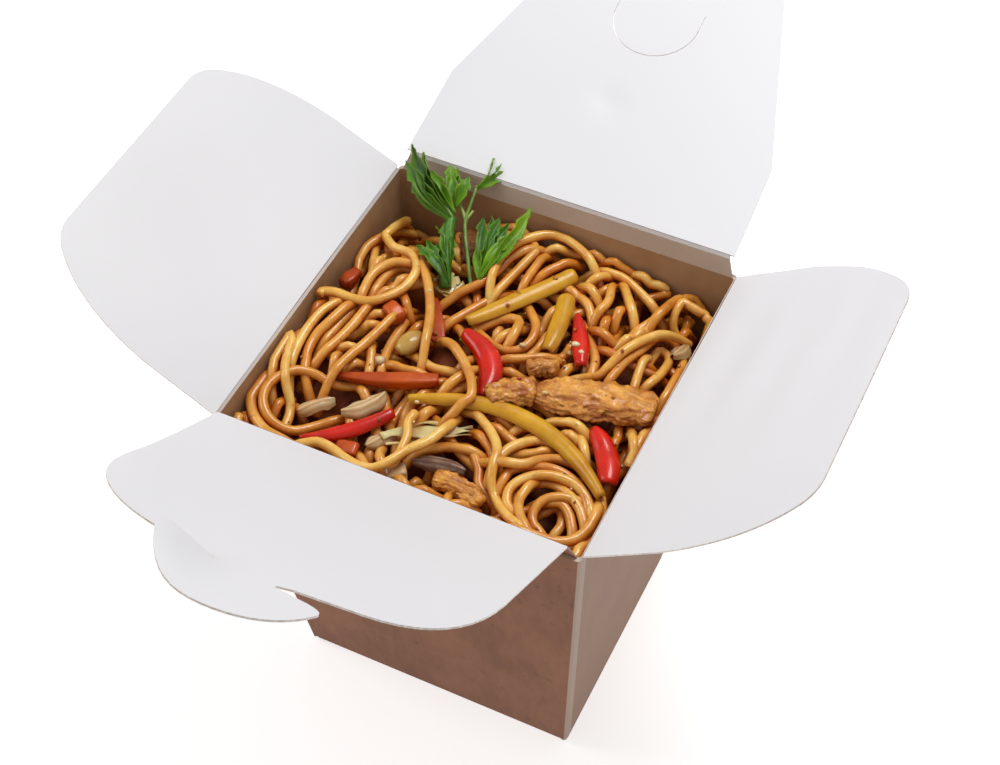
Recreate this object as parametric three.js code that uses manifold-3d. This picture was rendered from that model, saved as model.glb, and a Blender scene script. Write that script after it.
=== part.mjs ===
// Noodle takeaway box: an open folded-board carton with four hinged lid flaps, filled with
// fried noodles, vegetable strips, chicken and a sprig of parsley.
// Millimetres, +Z up. The origin is the centre of the carton's base on the surface it stands on.
// The long front flap with the tongue is on the -Y side.
import * as THREE from 'three';
import { mergeVertices } from 'three/addons/utils/BufferGeometryUtils.js';
import Module from 'manifold-3d';

const wasm = await Module();
wasm.setup();

// ---------------------------------------------------------------- driving dimensions

const BOARD = 0.5;                 // thickness of the folded board
const GUSSET = 0.9;                // the two extra layers of each corner gusset
const RIM_Z = 114;                 // height of the carton's rim
const TOP_X = 100;                 // outside size at the rim, over the side walls
const TOP_Y = 98.9;                // outside size at the rim, over the bare front and back walls
const BASE_X = 81.9;
const BASE_Y = 71.0;
const CORNER_R = 1.2;              // fold radius of the carton's upright corners
const GUSSET_V_Z = 44;             // where the gussets of one wall meet above the bare triangle
const SEAM = 0.6;                  // gap between the two gussets of a wall

const RISER_H = 5;                 // the front and back walls stand this much above the rim
const RISER_LEAN = 1.5;            // and lean outwards by this much
const RISER_END = 3;               // their ends slope in by this much

const HINGE_GAP = 0.35;            // free strip between a fold line and the flap's board
const SIDE_HINGE = { x: TOP_X / 2 + 0.2, z: RIM_Z + 0.7 };
const END_HINGE = { y: TOP_Y / 2 + RISER_LEAN + 0.2, z: RIM_Z + RISER_H + 0.7 };

// Angle of each flap above the horizontal, measured outwards from its fold line.
const TILT = { left: 28.6, right: 33.9, front: 32.4, back: 14.9 };

const SIDE_FLAP = { length: 58.4, root: 1.0, knee: 22, kneeInset: 1.6, endInset: 17.3 };
const BACK_FLAP = { length: 88, inset: 1.8, knee: 28, endInset: 21.3, corner: 10 };
const TONGUE_SLOT = { radius: 12.4, centre: 63, arm: 5, width: 0.8 };
const FRONT_FLAP = { inset: 2.9, side: 38.6, shoulder: 67.3, shoulderHalf: 26.5, length: 86 };
const TONGUE = { neckHalf: 7.5, neck: 68.9, wingHalf: 19.6, wing: 71.4, mouth: 70.0 };

const NOODLE_R = 1.65;             // radius of one noodle
const NOODLE_SIDES = 6;
const NOODLE_STEP = 4.6;           // distance between the rings along a noodle
const FOOD_GAP = 0.35;             // free space between the food and the board
const HEAP_Z = 109;                // level of the heap's top
const CORE_DEPTH = 4.3;            // the heap's solid core lies this much below its top
const CORE_CELLS = 9;              // divisions of the core's uneven top
const RANDOM_SEED = 7;
const FILL_COUNT = 30;             // noodles that fill what the named ones leave bare
const CROSSING_COUNT = 16;         // noodles that cross over them

const COLOURS = {
  kraft: 0xa58a6c, board: 0xe8e7e8, noodle: 0xd09a45, red: 0xc01f10, yellow: 0xc39a22,
  carrot: 0xe26a12, chicken: 0xb9784a, onion: 0xcdb48c, purple: 0x7c5a5c, cabbage: 0xd9cb8a,
  bean: 0xb79a4a, meat: 0x9c6438, parsley: 0x2f7d1e,
};

// ---------------------------------------------------------------- solids and meshes

const point = (x, y, z) => new THREE.Vector3(x, y, z);
const radians = THREE.MathUtils.degToRad;
const UP = point(0, 0, 1);

function toSolid(geometry) {
  geometry.deleteAttribute('normal');
  geometry.deleteAttribute('uv');
  const merged = mergeVertices(geometry, 1e-4);
  return new wasm.Manifold(new wasm.Mesh({
    numProp: 3,
    vertProperties: Float32Array.from(merged.attributes.position.array),
    triVerts: Uint32Array.from(merged.index.array),
  }));
}

function toGeometry(solid) {
  const mesh = solid.getMesh();
  const geometry = new THREE.BufferGeometry();
  geometry.setAttribute('position', new THREE.BufferAttribute(mesh.vertProperties, mesh.numProp));
  geometry.setIndex(new THREE.BufferAttribute(mesh.triVerts, 1));
  geometry.computeVertexNormals();
  return geometry;
}

const joined = (solids) => solids.reduce((whole, next) => whole.add(next));

// The largest connected piece of a solid, without loose scraps.
function largestPiece(solid) {
  const pieces = solid.decompose();
  return pieces.reduce((best, piece) => (piece.volume() > best.volume() ? piece : best));
}

function paintedMesh(name, geometry, colour, roughness = 0.6) {
  const material = new THREE.MeshStandardMaterial({ color: colour, roughness, metalness: 0 });
  const mesh = new THREE.Mesh(geometry, material);
  mesh.name = name;
  return mesh;
}

// A closed skin over equal rings of points, listed from the start of the path to its end.
function loft(rings) {
  const sides = rings[0].length;
  const positions = rings.flat().flatMap((corner) => corner.toArray());
  const index = [];
  for (let ring = 0; ring < rings.length - 1; ring += 1) {
    for (let k = 0; k < sides; k += 1) {
      const a = ring * sides + k;
      const b = ring * sides + (k + 1) % sides;
      index.push(a, a + sides, b + sides, a, b + sides, b);
    }
  }
  const last = (rings.length - 1) * sides;
  for (let k = 1; k < sides - 1; k += 1) {
    index.push(0, k, k + 1, last, last + k + 1, last + k);
  }
  const geometry = new THREE.BufferGeometry();
  geometry.setAttribute('position', new THREE.Float32BufferAttribute(positions, 3));
  geometry.setIndex(index);
  return geometry;
}

// A section carried along a path. sectionAt(u) lists [sideways, upwards] offsets, in order
// from the right-hand side up and over.
function sweep(path, sectionAt, twistAt = () => 0) {
  const rings = path.map((centre, i) => {
    const before = path[Math.max(i - 1, 0)];
    const after = path[Math.min(i + 1, path.length - 1)];
    const ahead = after.clone().sub(before).normalize();
    const side = ahead.clone().cross(UP).normalize();
    const top = side.clone().cross(ahead).normalize();
    const u = i / (path.length - 1);
    const twist = twistAt(u);
    return sectionAt(u).map(([a, b]) => {
      const sideways = a * Math.cos(twist) - b * Math.sin(twist);
      const upwards = a * Math.sin(twist) + b * Math.cos(twist);
      return centre.clone().addScaledVector(side, sideways).addScaledVector(top, upwards);
    });
  });
  return loft(rings);
}

function ellipse(halfWidth, halfHeight, sides) {
  return Array.from({ length: sides }, (_, k) => {
    const angle = (2 * Math.PI * k) / sides;
    return [halfWidth * Math.cos(angle), halfHeight * Math.sin(angle)];
  });
}

// ---------------------------------------------------------------- carton

// Half sizes of the carton's outside at height z.
const halfX = (z) => (BASE_X + (TOP_X - BASE_X) * (z / RIM_Z)) / 2;
const halfY = (z) => (BASE_Y + (TOP_Y - BASE_Y) * (z / RIM_Z)) / 2;

// A rounded rectangle at height z, clockwise from above.
function roundedRing(hx, hy, radius, z) {
  const steps = 3;
  const corners = [[1, -1, -90], [1, 1, 0], [-1, 1, 90], [-1, -1, 180]];
  return corners.flatMap(([sx, sy, start]) => Array.from({ length: steps + 1 }, (_, k) => {
    const angle = radians(start + (90 * k) / steps);
    return point(sx * (hx - radius) + radius * Math.cos(angle),
      sy * (hy - radius) + radius * Math.sin(angle), z);
  })).reverse();
}

// A tapering block between two heights that follows the walls at a given inset.
function wallBlock(fromZ, toZ, insetX, insetY, radius) {
  return toSolid(loft([fromZ, toZ].map((z) => (
    roundedRing(halfX(z) - insetX, halfY(z) - insetY, radius, z)))));
}

// A prism along Y through the outline of one gusset, on the side where x has the given sign.
function gussetPrism(sign) {
  const top = RIM_Z + 1;
  const outline = [[SEAM / 2, GUSSET_V_Z], [SEAM / 2, top], [TOP_X, top], [TOP_X, 0.8], [BASE_X / 2, 0.8]];
  const ring = (y) => outline.map(([x, z]) => point(sign * x, y, z));
  return toSolid(loft([ring(sign * TOP_Y), ring(-sign * TOP_Y)]));
}

// The strip of wall above the rim that carries the front or back flap. A slab of six faces.
function riser(sign) {
  const start = RIM_Z - 0.6;
  const end = RIM_Z + RISER_H;
  const edge = (z, inset, lean) => {
    const outer = TOP_Y / 2 + lean;
    const half = TOP_X / 2 - inset;
    const corners = [[half, outer - BOARD], [-half, outer - BOARD], [-half, outer], [half, outer]];
    return corners.map(([x, y]) => point(sign * x, sign * y, z));
  };
  return toSolid(loft([edge(start, CORNER_R, 0), edge(RIM_Z, CORNER_R, 0), edge(end, RISER_END, RISER_LEAN)]));
}

function carton() {
  const wall = wallBlock(0, RIM_Z, 0, 0, CORNER_R);
  const padded = wallBlock(0, RIM_Z, 0, -GUSSET, CORNER_R);
  const gussets = padded.intersect(gussetPrism(1).add(gussetPrism(-1)));
  const outside = joined([wall, gussets, riser(1), riser(-1)]);
  const hollow = wallBlock(BOARD, RIM_Z + RISER_H + 1, BOARD, BOARD, CORNER_R - BOARD);
  return outside.subtract(hollow).add(riser(1)).add(riser(-1));
}

// ---------------------------------------------------------------- lid flaps

// Each outline has x along the fold line and y outwards from it.
function sideFlapShape() {
  const { length, root, knee, kneeInset, endInset } = SIDE_FLAP;
  const half = TOP_X / 2;
  const end = half - endInset;
  const shape = new THREE.Shape();
  shape.moveTo(-(half - root), HINGE_GAP);
  shape.lineTo(half - root, HINGE_GAP);
  shape.lineTo(half - kneeInset, knee);
  shape.quadraticCurveTo(half - 3.6, 0.76 * length, end + 3.4, length - 3.2);
  shape.quadraticCurveTo(end, length, end - 4.5, length);
  shape.lineTo(-(end - 4.5), length);
  shape.quadraticCurveTo(-end, length, -(end + 3.4), length - 3.2);
  shape.quadraticCurveTo(-(half - 3.6), 0.76 * length, -(half - kneeInset), knee);
  return shape;
}

function backFlapShape() {
  const { length, inset, knee, endInset, corner } = BACK_FLAP;
  const half = TOP_X / 2;
  const end = half - endInset;
  const shape = new THREE.Shape();
  shape.moveTo(-(half - inset), HINGE_GAP);
  shape.lineTo(half - inset, HINGE_GAP);
  shape.lineTo(half - inset - 0.6, knee);
  shape.lineTo(end + 0.3 * corner, length - corner);
  shape.quadraticCurveTo(end, length, end - corner, length);
  shape.lineTo(-(end - corner), length);
  shape.quadraticCurveTo(-end, length, -(end + 0.3 * corner), length - corner);
  shape.lineTo(-(half - inset - 0.6), knee);
  shape.holes.push(tongueSlot());
  return shape;
}

// A half-round slit with two short straight arms, open side away from the fold line.
function tongueSlot() {
  const { radius, centre, arm, width } = TONGUE_SLOT;
  const outer = radius + width / 2;
  const inner = radius - width / 2;
  const slot = new THREE.Path();
  slot.moveTo(-outer, centre + arm);
  slot.lineTo(-outer, centre);
  slot.absarc(0, centre, outer, Math.PI, 2 * Math.PI, false);
  slot.lineTo(outer, centre + arm);
  slot.lineTo(inner, centre + arm);
  slot.lineTo(inner, centre);
  slot.absarc(0, centre, inner, 2 * Math.PI, Math.PI, true);
  slot.lineTo(-inner, centre + arm);
  return slot;
}

function frontFlapShape() {
  const { inset, side, shoulder, shoulderHalf, length } = FRONT_FLAP;
  const { neckHalf, neck, wingHalf, wing, mouth } = TONGUE;
  const half = TOP_X / 2 - inset;
  const notchHalf = neckHalf + 3.5;
  const shape = new THREE.Shape();
  shape.moveTo(-half, HINGE_GAP);
  shape.lineTo(half, HINGE_GAP);
  shape.lineTo(half, side);
  shape.quadraticCurveTo(half - 0.5, shoulder - 4, shoulderHalf, shoulder - 1.6);
  shape.lineTo(notchHalf, shoulder);
  shape.lineTo(neckHalf, neck - 0.5);
  shape.lineTo(neckHalf, neck + 0.2);
  shape.lineTo(notchHalf + 3, mouth);
  shape.quadraticCurveTo(wingHalf + 1, wing - 0.6, wingHalf, wing + 2);
  shape.quadraticCurveTo(0.74 * wingHalf, length, 0, length);
  shape.quadraticCurveTo(-0.74 * wingHalf, length, -wingHalf, wing + 2);
  shape.quadraticCurveTo(-(wingHalf + 1), wing - 0.6, -(notchHalf + 3), mouth);
  shape.lineTo(-neckHalf, neck + 0.2);
  shape.lineTo(-neckHalf, neck - 0.5);
  shape.lineTo(-notchHalf, shoulder);
  shape.lineTo(-shoulderHalf, shoulder - 1.6);
  shape.quadraticCurveTo(-(half - 0.5), shoulder - 4, -half, side);
  return shape;
}

// A flap of board on its fold line: yaw turns it to its wall, tilt lifts its free end.
function flap(name, shape, hinge, yaw, tilt) {
  const geometry = new THREE.ExtrudeGeometry(shape, {
    depth: BOARD, bevelEnabled: false, curveSegments: 7,
  });
  geometry.translate(0, 0, -BOARD / 2);
  const plate = paintedMesh(name, toGeometry(toSolid(geometry)), COLOURS.board, 0.35);
  plate.rotation.x = radians(tilt);
  const foldLine = new THREE.Group();
  foldLine.position.copy(hinge);
  foldLine.rotation.z = radians(yaw);
  foldLine.add(plate);
  return foldLine;
}

// ---------------------------------------------------------------- heap of noodles

// A repeatable stream of numbers from 0 to 1.
function randomStream(seed) {
  let state = seed;
  return () => {
    state = (state * 16807) % 2147483647;
    return state / 2147483647;
  };
}

// A smooth hump or hollow of the heap: height at the centre, and its spread.
const swell = (x, y, height, cx, cy, spread) => (
  height * Math.exp(-((x - cx) ** 2 + (y - cy) ** 2) / (2 * spread ** 2)));

// Level of the heap's top over the point x, y. It falls away in the two back corners.
function heapTop(x, y) {
  return HEAP_Z + swell(x, y, 1.2, -10, 5, 25) + swell(x, y, 2.2, -48, -14, 16)
    - swell(x, y, 14, -41, 44, 10) - swell(x, y, 9, 46, 46, 12) - swell(x, y, 2, 36, -36, 7);
}

const coreTop = (x, y) => heapTop(x, y) - CORE_DEPTH;

function heapCore() {
  const height = 1;
  const geometry = new THREE.BoxGeometry(2, 2, height, CORE_CELLS, CORE_CELLS, 1);
  const place = geometry.attributes.position;
  const inset = BOARD + FOOD_GAP;
  for (let i = 0; i < place.count; i += 1) {
    const u = place.getX(i);
    const v = place.getY(i);
    const isTop = place.getZ(i) > 0;
    const level = isTop ? coreTop(u * 47.5, v * 46.5) : BOARD + FOOD_GAP;
    place.setXYZ(i, u * (halfX(level) - inset), v * (halfY(level) - inset), level);
  }
  return toSolid(geometry);
}

// Farthest that a noodle's centre line at height z may lie from the middle of the box.
const NOODLE_INSET = BOARD + FOOD_GAP + NOODLE_R;
const reachX = (z) => halfX(z - NOODLE_R) - NOODLE_INSET;
const reachY = (z) => halfY(z - NOODLE_R) - NOODLE_INSET;
const clampTo = (value, reach) => Math.max(-reach, Math.min(reach, value));

// The centre line of a noodle over flat points: it lies on the core, raised by whole layers.
function layOnHeap(flat, layer) {
  const lift = 0.5 + 2.2 * layer;
  return flat.map(([x, y]) => {
    const z = coreTop(x, y) + lift;
    return point(clampTo(x, reachX(z)), clampTo(y, reachY(z)), z);
  });
}

// A noodle bent to an arc: centre, radius, first angle and swept angle in degrees.
function arcNoodle(x, y, radius, from, sweepAngle, layer = 0) {
  const length = radians(Math.abs(sweepAngle)) * radius;
  const steps = Math.max(3, Math.round(length / NOODLE_STEP));
  const flat = Array.from({ length: steps + 1 }, (_, i) => {
    const angle = radians(from + (sweepAngle * i) / steps);
    return [x + radius * Math.cos(angle), y + radius * Math.sin(angle)];
  });
  return layOnHeap(flat, layer);
}

// A noodle between two points that bows sideways, to the left of its run.
function bowedFlat(start, end, bow, step) {
  const [x0, y0] = start;
  const [x1, y1] = end;
  const length = Math.hypot(x1 - x0, y1 - y0);
  const steps = Math.max(3, Math.round((length + Math.abs(bow)) / step));
  return Array.from({ length: steps + 1 }, (_, i) => {
    const u = i / steps;
    const offset = 4 * bow * u * (1 - u);
    return [x0 + (x1 - x0) * u - ((y1 - y0) / length) * offset,
      y0 + (y1 - y0) * u + ((x1 - x0) / length) * offset];
  });
}

// Noodles side by side: the first runs from start to end, the others lie to its left.
function bundle(start, end, bow, count, layer = 0) {
  const across = Math.atan2(end[1] - start[1], end[0] - start[0]) + Math.PI / 2;
  const pitch = 2 * NOODLE_R + 0.9;
  return Array.from({ length: count }, (_, i) => {
    const move = ([x, y]) => [x + i * pitch * Math.cos(across), y + i * pitch * Math.sin(across)];
    return layOnHeap(bowedFlat(move(start), move(end), bow, NOODLE_STEP), layer);
  });
}

// Concentric arcs: one noodle for each radius.
const coil = (x, y, radii, from, sweepAngle, layer = 0) => (
  radii.map((radius) => arcNoodle(x, y, radius, from, sweepAngle, layer)));

function noodleLines() {
  const nest = [36, -35];
  const frontLoop = [-34.5, -33.5];
  const backHook = [-38, 16];
  const backArch = [1, 36];
  const rightArch = [37, 18];
  const middleLoop = [1, 12];
  return [
    ...coil(...nest, [3.6], 20, 300),
    ...coil(...nest, [7.6], 60, 320),
    ...coil(...nest, [11.2], 150, 330),
    ...coil(...nest, [16], 100, 110),
    ...coil(...frontLoop, [9], 35, 300, 0.6),
    ...coil(...frontLoop, [12.8], 165, 115),
    ...coil(...backHook, [10], -115, 200, 0.8),
    ...coil(...backHook, [5.6], 75, 130),
    ...coil(...backArch, [10.5, 6.3], 25, 185),
    ...coil(...rightArch, [9], -60, 250, 0.6),
    ...coil(...rightArch, [4.8], -20, 220),
    ...coil(...middleLoop, [8], -120, 215, 0.6),
    ...bundle([-25, 2], [-31, -20], -1, 5),
    ...bundle([-48, 30], [-42, 5], 0, 1),
    ...bundle([-46, -22], [-35, -44], -3, 1, 0.9),
    ...bundle([-14, -3], [-28, 22], 1, 1, 0.8),
    ...bundle([-28, -45], [2, -27], -7, 1),
    ...bundle([-15, 10], [-6, 38], -1, 2),
    ...bundle([19, 10], [31, 31], -2, 3),
    ...bundle([10, 28], [44, 43], 3, 2),
    ...bundle([26, 4], [37, 26], -3, 1, 0.9),
    ...bundle([-18, -28], [-14, -10], 2, 2),
    ...bundle([12, -20], [17, -44], 3, 2),
    ...bundle([-9, -10], [16, -27], 4, 2),
    ...bundle([20, -8], [46, -9], 3, 1),
    ...bundle([-30, 42], [-4, 46], 2, 2),
  ];
}

// Short noodles at random places, clear of each other and of the lines already taken.
function randomLines(count, layer, taken) {
  const random = randomStream(RANDOM_SEED + 10 * layer);
  const [limitX, limitY] = [reachX(HEAP_Z), reachY(HEAP_Z)];
  const lines = [];
  for (let attempt = 0; attempt < 3000 && lines.length < count; attempt += 1) {
    const x = (2 * random() - 1) * limitX;
    const y = (2 * random() - 1) * limitY;
    const radius = 7 + 14 * random();
    const line = arcNoodle(x - radius, y, radius, -40, 50 + 60 * random());
    const turn = 2 * Math.PI * random();
    const flat = line.map((p) => {
      const dx = p.x - x;
      const dy = p.y - y;
      return [x + dx * Math.cos(turn) - dy * Math.sin(turn), y + dx * Math.sin(turn) + dy * Math.cos(turn)];
    });
    const inside = flat.every(([px, py]) => Math.abs(px) < limitX && Math.abs(py) < limitY);
    const clear = flat.every(([px, py]) => [...taken, ...lines].every((other) => (
      other.every((q) => Math.hypot(q.x - px, q.y - py) > 2 * NOODLE_R + 0.6))));
    if (inside && clear) lines.push(layOnHeap(flat, layer));
  }
  return lines;
}

// The stretches of a noodle's centre line that stay clear of every topping.
function clearStretches(line, toppings) {
  const isClear = (p) => toppings.every(({ path, width }) => path.every((q) => (
    Math.hypot(p.x - q.x, p.y - q.y) > NOODLE_R + width / 2 + 0.5)));
  const stretches = [[]];
  line.forEach((p) => {
    if (isClear(p)) stretches.at(-1).push(p);
    else if (stretches.at(-1).length) stretches.push([]);
  });
  return stretches.filter((stretch) => stretch.length > 2);
}

function noodleTube(line) {
  return toSolid(sweep(line, () => ellipse(NOODLE_R, NOODLE_R, NOODLE_SIDES)));
}

function noodleHeap(toppings) {
  const named = noodleLines().flatMap((line) => clearStretches(line, toppings));
  const under = toppings.map((topping) => topping.path);
  const fill = randomLines(FILL_COUNT, 0, [...named, ...under]);
  const crossing = randomLines(CROSSING_COUNT, 1, under);
  const lines = [...named, ...fill, ...crossing];
  const heap = joined([heapCore(), ...lines.map(noodleTube)]);
  return largestPiece(heap.subtract(joined(toppings.map((item) => item.grown))));
}

// ---------------------------------------------------------------- toppings

// A strip of food: it follows a bowed line on the heap, and narrows towards both ends.
// size is [width, height]; wobble makes a torn piece such as chicken uneven.
function topping(name, colour, start, end, size, options = {}) {
  const { bow = 0, lift = 0, blunt = 0.7, wobble = 0, tilt = 0, sides = 8 } = options;
  const [width, height] = size;
  const flat = bowedFlat(start, end, bow, 3.4);
  const path = flat.map(([x, y]) => point(x, y, coreTop(x, y) + FOOD_GAP + 0.5 + height / 2 + lift));
  const sectionFor = (extra) => (u) => {
    const fade = blunt + (1 - blunt) * Math.sin(Math.PI * u) ** 0.6;
    const uneven = 1 + wobble * Math.sin(11 * u + start[0]);
    const halfWidth = (width / 2) * fade * uneven + extra;
    const halfHeight = (height / 2) * fade * (2 - uneven) + extra;
    return ellipse(halfWidth, halfHeight, sides);
  };
  const twistAt = () => radians(tilt);
  const raw = toSolid(sweep(path, sectionFor(0), twistAt));
  const grownPath = lengthened(path, FOOD_GAP);
  const grown = toSolid(sweep(grownPath, sectionFor(FOOD_GAP), twistAt));
  return { name, colour, path, width, raw, grown };
}

// The same path with both ends moved outwards by a distance.
function lengthened(path, distance) {
  const longer = path.map((p) => p.clone());
  const last = path.length - 1;
  longer[0].addScaledVector(path[0].clone().sub(path[1]).normalize(), distance);
  longer[last].addScaledVector(path[last].clone().sub(path[last - 1]).normalize(), distance);
  return longer;
}

function allToppings() {
  const { red, yellow, carrot, chicken, onion, purple, cabbage, bean, meat } = COLOURS;
  return [
    topping('red_pepper_1', red, [-8, 5.5], [5, -11.5], [7, 3.4], { bow: 4.4, lift: 0.8, tilt: 14 }),
    topping('red_pepper_2', red, [-30.4, -42.2], [-13, -25], [4.6, 2.4], { bow: -1.4, lift: 0.8 }),
    topping('red_pepper_3', red, [35, -8.6], [45, -22.5], [6, 4], { bow: 1.5 }),
    topping('red_pepper_4', red, [15.5, 24.5], [23.5, 9], [4.6, 3.4], { bow: 0.4 }),
    topping('yellow_pepper_1', yellow, [-11, -20.5], [45.2, -27], [5.4, 3.8], { bow: 10.5, lift: 0.8, blunt: 0.45 }),
    topping('yellow_pepper_2', yellow, [-9.4, 9.4], [8.8, 37.4], [5, 3.4], { bow: -0.4, lift: 0.6 }),
    topping('yellow_pepper_3', yellow, [10.2, 29.6], [13.4, 10], [5.4, 3.2], { bow: 0.6 }),
    topping('carrot_1', carrot, [-29.7, 4.4], [-25, 1.6], [4.6, 4.2], { blunt: 0.9, lift: 1.6, sides: 6 }),
    topping('carrot_2', carrot, [-31, -21.3], [-7, -11.4], [3.8, 3.6], { bow: -0.8, lift: 0.8 }),
    topping('carrot_3', carrot, [-21, -40.5], [-15.5, -39.3], [4.6, 3.2], { blunt: 0.9, sides: 6 }),
    topping('carrot_4', carrot, [-45.5, 8], [-44.5, 14], [3.6, 3.4], { blunt: 0.9, sides: 6 }),
    topping('carrot_5', carrot, [-21.5, 14.5], [-13.5, 1.5], [5, 2.2], { bow: -0.8 }),
    topping('chicken_1', chicken, [6.4, -11.6], [17.4, -4.4], [8, 5.8], { bow: 0.6, blunt: 0.75, wobble: 0.1 }),
    topping('chicken_2', chicken, [17, -5.4], [47.1, 2.4], [12, 6.4], { bow: 0.8, blunt: 0.75, wobble: 0.08 }),
    topping('chicken_3', chicken, [12, 1.4], [19, 4.6], [5, 5], { bow: 0.8, blunt: 0.75, wobble: 0.12 }),
    topping('chicken_4', chicken, [5.4, -38.4], [19.4, -40.6], [5.4, 4], { bow: 0.8, blunt: 0.8, wobble: 0.15 }),
    topping('mushroom_1', bean, [-20.6, -7.6], [-17.8, 0], [5.6, 4.4], { blunt: 0.8, lift: 0.8 }),
    topping('onion_1', onion, [-25, -30.5], [-17.5, -20.5], [4.8, 3], { bow: -1.2 }),
    topping('onion_2', purple, [-2, -36], [11.5, -33.5], [5, 2.4], { bow: 1 }),
    topping('onion_3', onion, [-35.3, -34.6], [-28.4, -27.4], [4.6, 2], { bow: 0.6 }),
    topping('onion_4', onion, [42.5, 24.5], [43.5, 33], [4.2, 2], { bow: -0.6 }),
    topping('cabbage_1', cabbage, [-10.8, -34.2], [7.6, -21.4], [4.4, 3.4], { bow: 1.4 }),
    topping('cabbage_2', cabbage, [-22, 17.5], [-18.6, 23.5], [5.2, 2]),
    topping('meat_1', meat, [-25.5, 43], [-18.5, 30.5], [6.4, 3.6], { bow: 1, wobble: 0.1, blunt: 0.8 }),
    topping('onion_5', onion, [-14.6, -36.8], [-9.4, -30], [4, 2], { bow: 0.5, lift: 0.3 }),
    topping('garlic_1', onion, [-6.1, -42.6], [-1.8, -39.4], [4.4, 3.6], { blunt: 0.9, wobble: 0.08 }),
  ];
}

// Toppings that come first keep their shape; each later one is cut back from them.
function fittedToppings(toppings) {
  return toppings.map((item, i) => {
    const earlier = toppings.slice(0, i).map((other) => other.grown);
    const solid = earlier.length ? largestPiece(item.raw.subtract(joined(earlier))) : item.raw;
    return paintedMesh(item.name, toGeometry(solid), item.colour, 0.45);
  });
}

// ---------------------------------------------------------------- parsley sprig

const STALK = 0.8;                 // radius of a stalk
const LEAF_THICK = 0.7;            // thickness of a leaf in its middle

function stalk(...corners) {
  const path = new THREE.CatmullRomCurve3(corners.map((c) => point(...c))).getPoints(5);
  return toSolid(sweep(path, (u) => ellipse(STALK * (1.1 - 0.3 * u), STALK * (1.1 - 0.3 * u), 5)));
}

// One lobe of a leaf: a thin wavy blade from its foot to its tip, widest past the middle.
function blade(foot, tip, width, wave) {
  const steps = 4;
  const run = tip.clone().sub(foot);
  const path = Array.from({ length: steps + 1 }, (_, i) => {
    const u = i / steps;
    const p = foot.clone().addScaledVector(run, u);
    p.z += wave * Math.sin(2 * Math.PI * u) + 0.06 * run.length() * Math.sin(Math.PI * u);
    return p;
  });
  const widths = [0.35, 0.8, 1, 0.85, 0.2];
  return toSolid(sweep(path, (u) => ellipse((width / 2) * widths[Math.round(u * steps)], LEAF_THICK / 2, 4)));
}

// A leaf: a fan of lobes about the line from its foot to its tip.
function leaf(foot, tip, width, lobes = 3, spread = 30) {
  const base = point(...foot);
  const run = point(...tip).sub(base);
  const facing = run.clone().cross(UP).normalize().cross(run).normalize();
  return joined(Array.from({ length: lobes }, (_, i) => {
    const offset = lobes > 1 ? (2 * i) / (lobes - 1) - 1 : 0;
    const reach = 1 - 0.25 * Math.abs(offset);
    const turned = run.clone().applyAxisAngle(facing, radians(spread * offset)).multiplyScalar(reach);
    return blade(base, base.clone().add(turned), width, 0.5 * (i % 2 ? 1 : -1));
  }));
}

function parsleySprig() {
  const foot = [-16.5, 26, 109];
  const fork = [-22, 39, 114.8];
  const leftFork = [-31, 40.5, 114.8];
  return joined([
    stalk(foot, [-19, 32, 112.5], fork),
    stalk(fork, [-25, 45, 118.5]),
    stalk([-19, 32, 112.3], [-26, 36, 112.5], leftFork),
    leaf(leftFork, [-45, 48.6, 122], 5.2, 3, 24),
    leaf(leftFork, [-36.5, 47.6, 119.2], 4.4, 3, 26),
    leaf([-24, 43, 117], [-19, 51.5, 122], 4.2, 3, 32),
    leaf([-18.5, 32, 112], [-13, 42, 115.4], 4.8, 4, 30),
    leaf([-19.5, 31, 111.8], [-31, 27, 112.2], 5, 3, 32),
  ]);
}

// ---------------------------------------------------------------- assembly

const object = new THREE.Group();
object.add(paintedMesh('carton', toGeometry(carton()), COLOURS.kraft, 0.8));
object.add(flap('flap_left', sideFlapShape(), point(-SIDE_HINGE.x, 0, SIDE_HINGE.z), 90, TILT.left));
object.add(flap('flap_right', sideFlapShape(), point(SIDE_HINGE.x, 0, SIDE_HINGE.z), -90, TILT.right));
object.add(flap('flap_front', frontFlapShape(), point(0, -END_HINGE.y, END_HINGE.z), 180, TILT.front));
object.add(flap('flap_back', backFlapShape(), point(0, END_HINGE.y, END_HINGE.z), 0, TILT.back));

const toppings = allToppings();
const sprig = parsleySprig();
const toppingMeshes = fittedToppings(toppings);
object.add(paintedMesh('noodles', toGeometry(noodleHeap(toppings)), COLOURS.noodle, 0.4));
toppingMeshes.forEach((mesh) => object.add(mesh));
object.add(paintedMesh('parsley_sprig', toGeometry(sprig), COLOURS.parsley, 0.5));

export default object;
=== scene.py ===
"""Looks of the noodle takeaway box: board, noodles, toppings, parsley, light and camera.

Lengths in this script are millimetres in the frame of the model, and become metres in meshes.
"""
import math

import bpy
import numpy as np
from mathutils import Matrix, Vector, noise
from mathutils.geometry import delaunay_2d_cdt


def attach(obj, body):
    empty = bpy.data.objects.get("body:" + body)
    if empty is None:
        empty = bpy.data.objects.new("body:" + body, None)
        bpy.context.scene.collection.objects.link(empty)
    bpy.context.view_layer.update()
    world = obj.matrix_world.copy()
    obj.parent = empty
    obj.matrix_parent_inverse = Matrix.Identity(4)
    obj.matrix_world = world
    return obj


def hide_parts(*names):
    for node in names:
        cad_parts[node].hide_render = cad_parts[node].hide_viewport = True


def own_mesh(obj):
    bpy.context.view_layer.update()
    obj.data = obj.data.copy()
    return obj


MM = 0.001
UP = np.array([0.0, 0.0, 1.0])

# ---------------------------------------------------------------- sizes shared with the solids

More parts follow.
